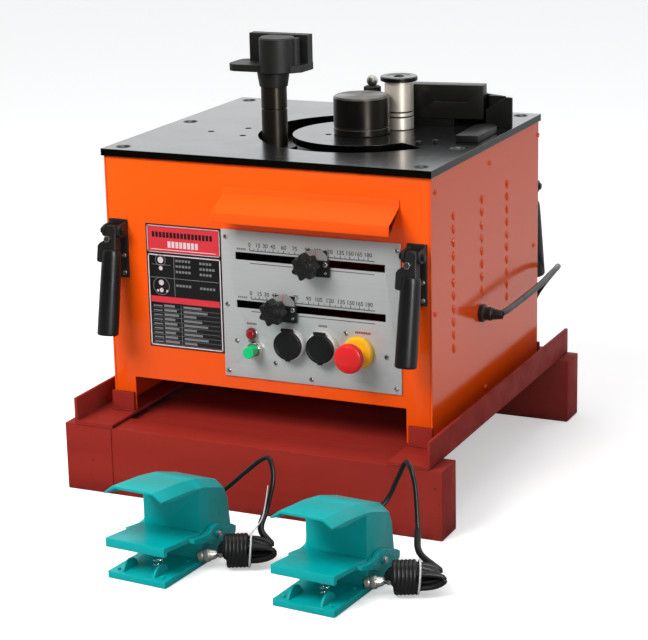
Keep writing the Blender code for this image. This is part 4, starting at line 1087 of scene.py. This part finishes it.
def build_hank(word, place):
    """The cable with its hank: long loops, a wrapped waist, a tie and a metal plug."""
    body = f"pedal_{word}"
    arch = PEDAL_ARCH[word]
    centre = Vector((95, 106, 24))
    along = Vector((0.86, 0.51, 0)).normalized()
    across = Vector((along.y, -along.x, 0))
    up = Vector((0, 0, 1))

    def at(a, b, c):
        """The point that is a along the hank, b across it and c over its centre."""
        return centre + along * a + across * b + up * c

    loops, wraps = [], []
    turns, steps = 6, 26
    for k in range(turns * steps + 1):
        c, s, share = cos(tau * k / steps), sin(tau * k / steps), k / (turns * steps)
        reach = 32 + 4 * sin(k * 0.21)
        loops.append(at(6 + reach * c, (share - 0.5) * 26, (9.5 + 3 * sin(k * 0.17)) * s))
        wraps.append(at(30 * share - 22, 16.5 * c, 19.5 * s))
    end = loops[0] + up * 2
    tail = smooth_path([wraps[0] - along * 6, at(-33, -3, -6), at(-40, -3, -8)], 6)
    lead, sleeve = smooth_path([*arch, end], 7), smooth_path([*arch[-2:], end], 6)
    shapes = [swept(lead, 3.2), swept(loops, 3.5), swept(wraps, 3.5), swept(tail, 3), swept(sleeve, 4.4, 14)]
    plain = f"pedal_cord_{word}"
    cable = moved(joined(*shapes), place)
    add_piece(f"pedal_cable_{word}", cable, "rubber", body, sharp=70, replaces=plain)
    inlet = [(0, 0), (6.4, 0), (6.4, 3), (5.2, 4), (4.6, 10), (3.6, 16), (3, 16)]
    boot = turned(inlet, (12, 158, arch[0][2] - 0.5), "Y", 28)
    add_piece(f"cable_boot_{word}", moved(boot, place), "rubber", body)

    aim = (along * 0.97 + up * 0.12 + across * 0.1).to_track_quat("Z", "Y").to_matrix().to_4x4()
    put = place @ Matrix.Translation(at(-58, -5, -8.5)) @ aim
    plug = [(0, 0), (7.4, 0), (8, 0.8), (8, 6), (7, 6.6), (7, 8), (8.6, 8.6), (8.6, 15), (7.4, 16)]
    plug += [(6, 22), (4, 26), (0, 26)]
    shell = joined(turned(plug, sides=40), prism(lobed((0, 0), 9, 0.8, 20, 120), 9, 14.5))
    add_piece(f"cable_plug_{word}", moved(shell, put), "zinc", body, 0.3)
    pin = [(1.1, -1.2), (1.1, 0.4), (0, 0.6)]
    pins = [turned(pin, spot, sides=12) for spot in circle(4, 4, -0.6)]
    add_piece(f"plug_pins_{word}", moved(joined(*pins), put), "plastic", body)

    tie = [at(10 + 2 * sin(a), 20.2 * cos(a), 22 * sin(a)) for a in [*ring_angles(32), 0]]
    band = [moved(swept(tie, 1.3, 10), place)]
    if word == "left":
        flick = [at(10, 0, 21), (112, 128, 62), (115, 136, 88), (117, 138, 106)]
        band.append(moved(swept(smooth_path(flick, 6), 0.9, 8), place))
    add_piece(f"cable_tie_{word}", band, "tie", body, sharp=70)


build_plate_fasteners()
build_side_screws()
build_louvre_hoods()
build_tools()
build_scales()
build_captions()
build_panel_screws()
build_label()
build_knobs()
build_switches()
build_sockets()
build_handles()
build_welds()
build_cord()
build_pedals()


# -------- studio


def toward(azimuth, elevation):
    """The direction from the machine to a point round it. Azimuth 0 is in front of it and 90 on its right."""
    a, e = radians(azimuth), radians(elevation)
    return Vector((sin(a) * cos(e), -cos(a) * cos(e), sin(e)))


def area_light(name, azimuth, elevation, distance, size, power, glossy=True, diffuse=True):
    """A soft box that looks at the middle of the machine."""
    light = bpy.data.lights.new(name, "AREA")
    light.shape = "RECTANGLE"
    light.size, light.size_y = size
    light.energy = power
    made = new_object(name, light)
    made.visible_glossy = glossy
    made.visible_diffuse = diffuse
    out = toward(azimuth, elevation)
    made.location = TO_FRAME @ Vector((0, 0, 300)) + out * distance
    made.rotation_euler = (-out).to_track_quat("-Z", "Y").to_euler()


def build_world():
    """A pale room. Reflections see it brighter behind the machine than in front of it."""
    world = bpy.data.worlds.new("studio")
    bpy.context.scene.world = world
    world.use_nodes = True
    nodes, links = world.node_tree.nodes, world.node_tree.links
    background = nodes["Background"]
    direction = nodes.new("ShaderNodeTexCoord")
    split = nodes.new("ShaderNodeSeparateXYZ")
    depth = nodes.new("ShaderNodeMapRange")
    for socket, value in (("From Min", -0.6), ("From Max", 0.5), ("To Min", 0.04), ("To Max", 1.3)):
        depth.inputs[socket].default_value = value
    rays = nodes.new("ShaderNodeLightPath")
    strength = nodes.new("ShaderNodeMix")
    strength.inputs[2].default_value = 0.5
    links.new(direction.outputs["Generated"], split.inputs[0])
    links.new(split.outputs["Y"], depth.inputs["Value"])
    links.new(rays.outputs["Is Glossy Ray"], strength.inputs[0])
    links.new(depth.outputs[0], strength.inputs[3])
    links.new(strength.outputs[0], background.inputs["Strength"])
    background.inputs["Color"].default_value = (0.97, 0.985, 1.0, 1)


FLOOR_REACH = 30
FLOOR_DROP = 0.0005  # metres under the feet, so that the faces don't coincide


def build_floor():
    """A white floor for the camera that is duller in reflections and in bounced light."""
    floor = bpy.data.meshes.new("floor")
    corners = [(x * FLOOR_REACH, y * FLOOR_REACH, 0) for x, y in ((-1, -1), (1, -1), (1, 1), (-1, 1))]
    floor.from_pydata(corners, [], [(0, 1, 2, 3)])
    made = new_object("floor", floor)
    made.location.z = -FLOOR_DROP
    r = Recipe("pale_floor", None, (0.9, 0.9, 0.9), 0.8)
    r.tint(r.patches(3, 4, 0.4, 0.7, 0.0, 0.3), (0.88, 0.88, 0.885))
    rays = r.add("ShaderNodeLightPath")
    far = r.span(r.split(r.where)["Y"], -0.5, 0.9, 0.9, 0.0)
    r.tint(r.times(rays.outputs["Is Glossy Ray"], far), grey(0.02))
    r.tint(r.times(rays.outputs["Is Diffuse Ray"], 0.6), grey(0.1))
    r.set(r.shader, "Emission Color", (1, 1, 1, 1))
    r.set(r.shader, "Emission Strength", r.times(rays.outputs["Is Camera Ray"], 0.42))
    floor.materials.append(r.done())


CAMERA_PLACE = (1.2442, -2.4576, 1.0455)
CAMERA_AZIMUTH, CAMERA_ELEVATION, CAMERA_ROLL = 24.755, 15.718, -1.275  # degrees
CAMERA_LENS = 116.1


def build_camera():
    camera = bpy.data.cameras.new("camera")
    camera.lens = CAMERA_LENS
    camera.sensor_width = 36
    camera.clip_end = 100
    made = new_object("camera", camera)
    made.location = CAMERA_PLACE
    look = -toward(CAMERA_AZIMUTH, CAMERA_ELEVATION)
    turn = look.to_track_quat("-Z", "Y").to_matrix() @ Matrix.Rotation(radians(CAMERA_ROLL), 3, "Z")
    made.rotation_euler = turn.to_euler()
    bpy.context.scene.camera = made


bpy.context.scene.view_settings.view_transform = "Standard"
build_world()
build_floor()
build_camera()
area_light("key", -20, 40, 2.8, (1.5, 1.2), 66, glossy=False)
area_light("strip_right", 48, 20, 2.6, (0.4, 1.6), 55, diffuse=False)
area_light("overhead", 10, 85, 2.4, (1.6, 1.2), 12)
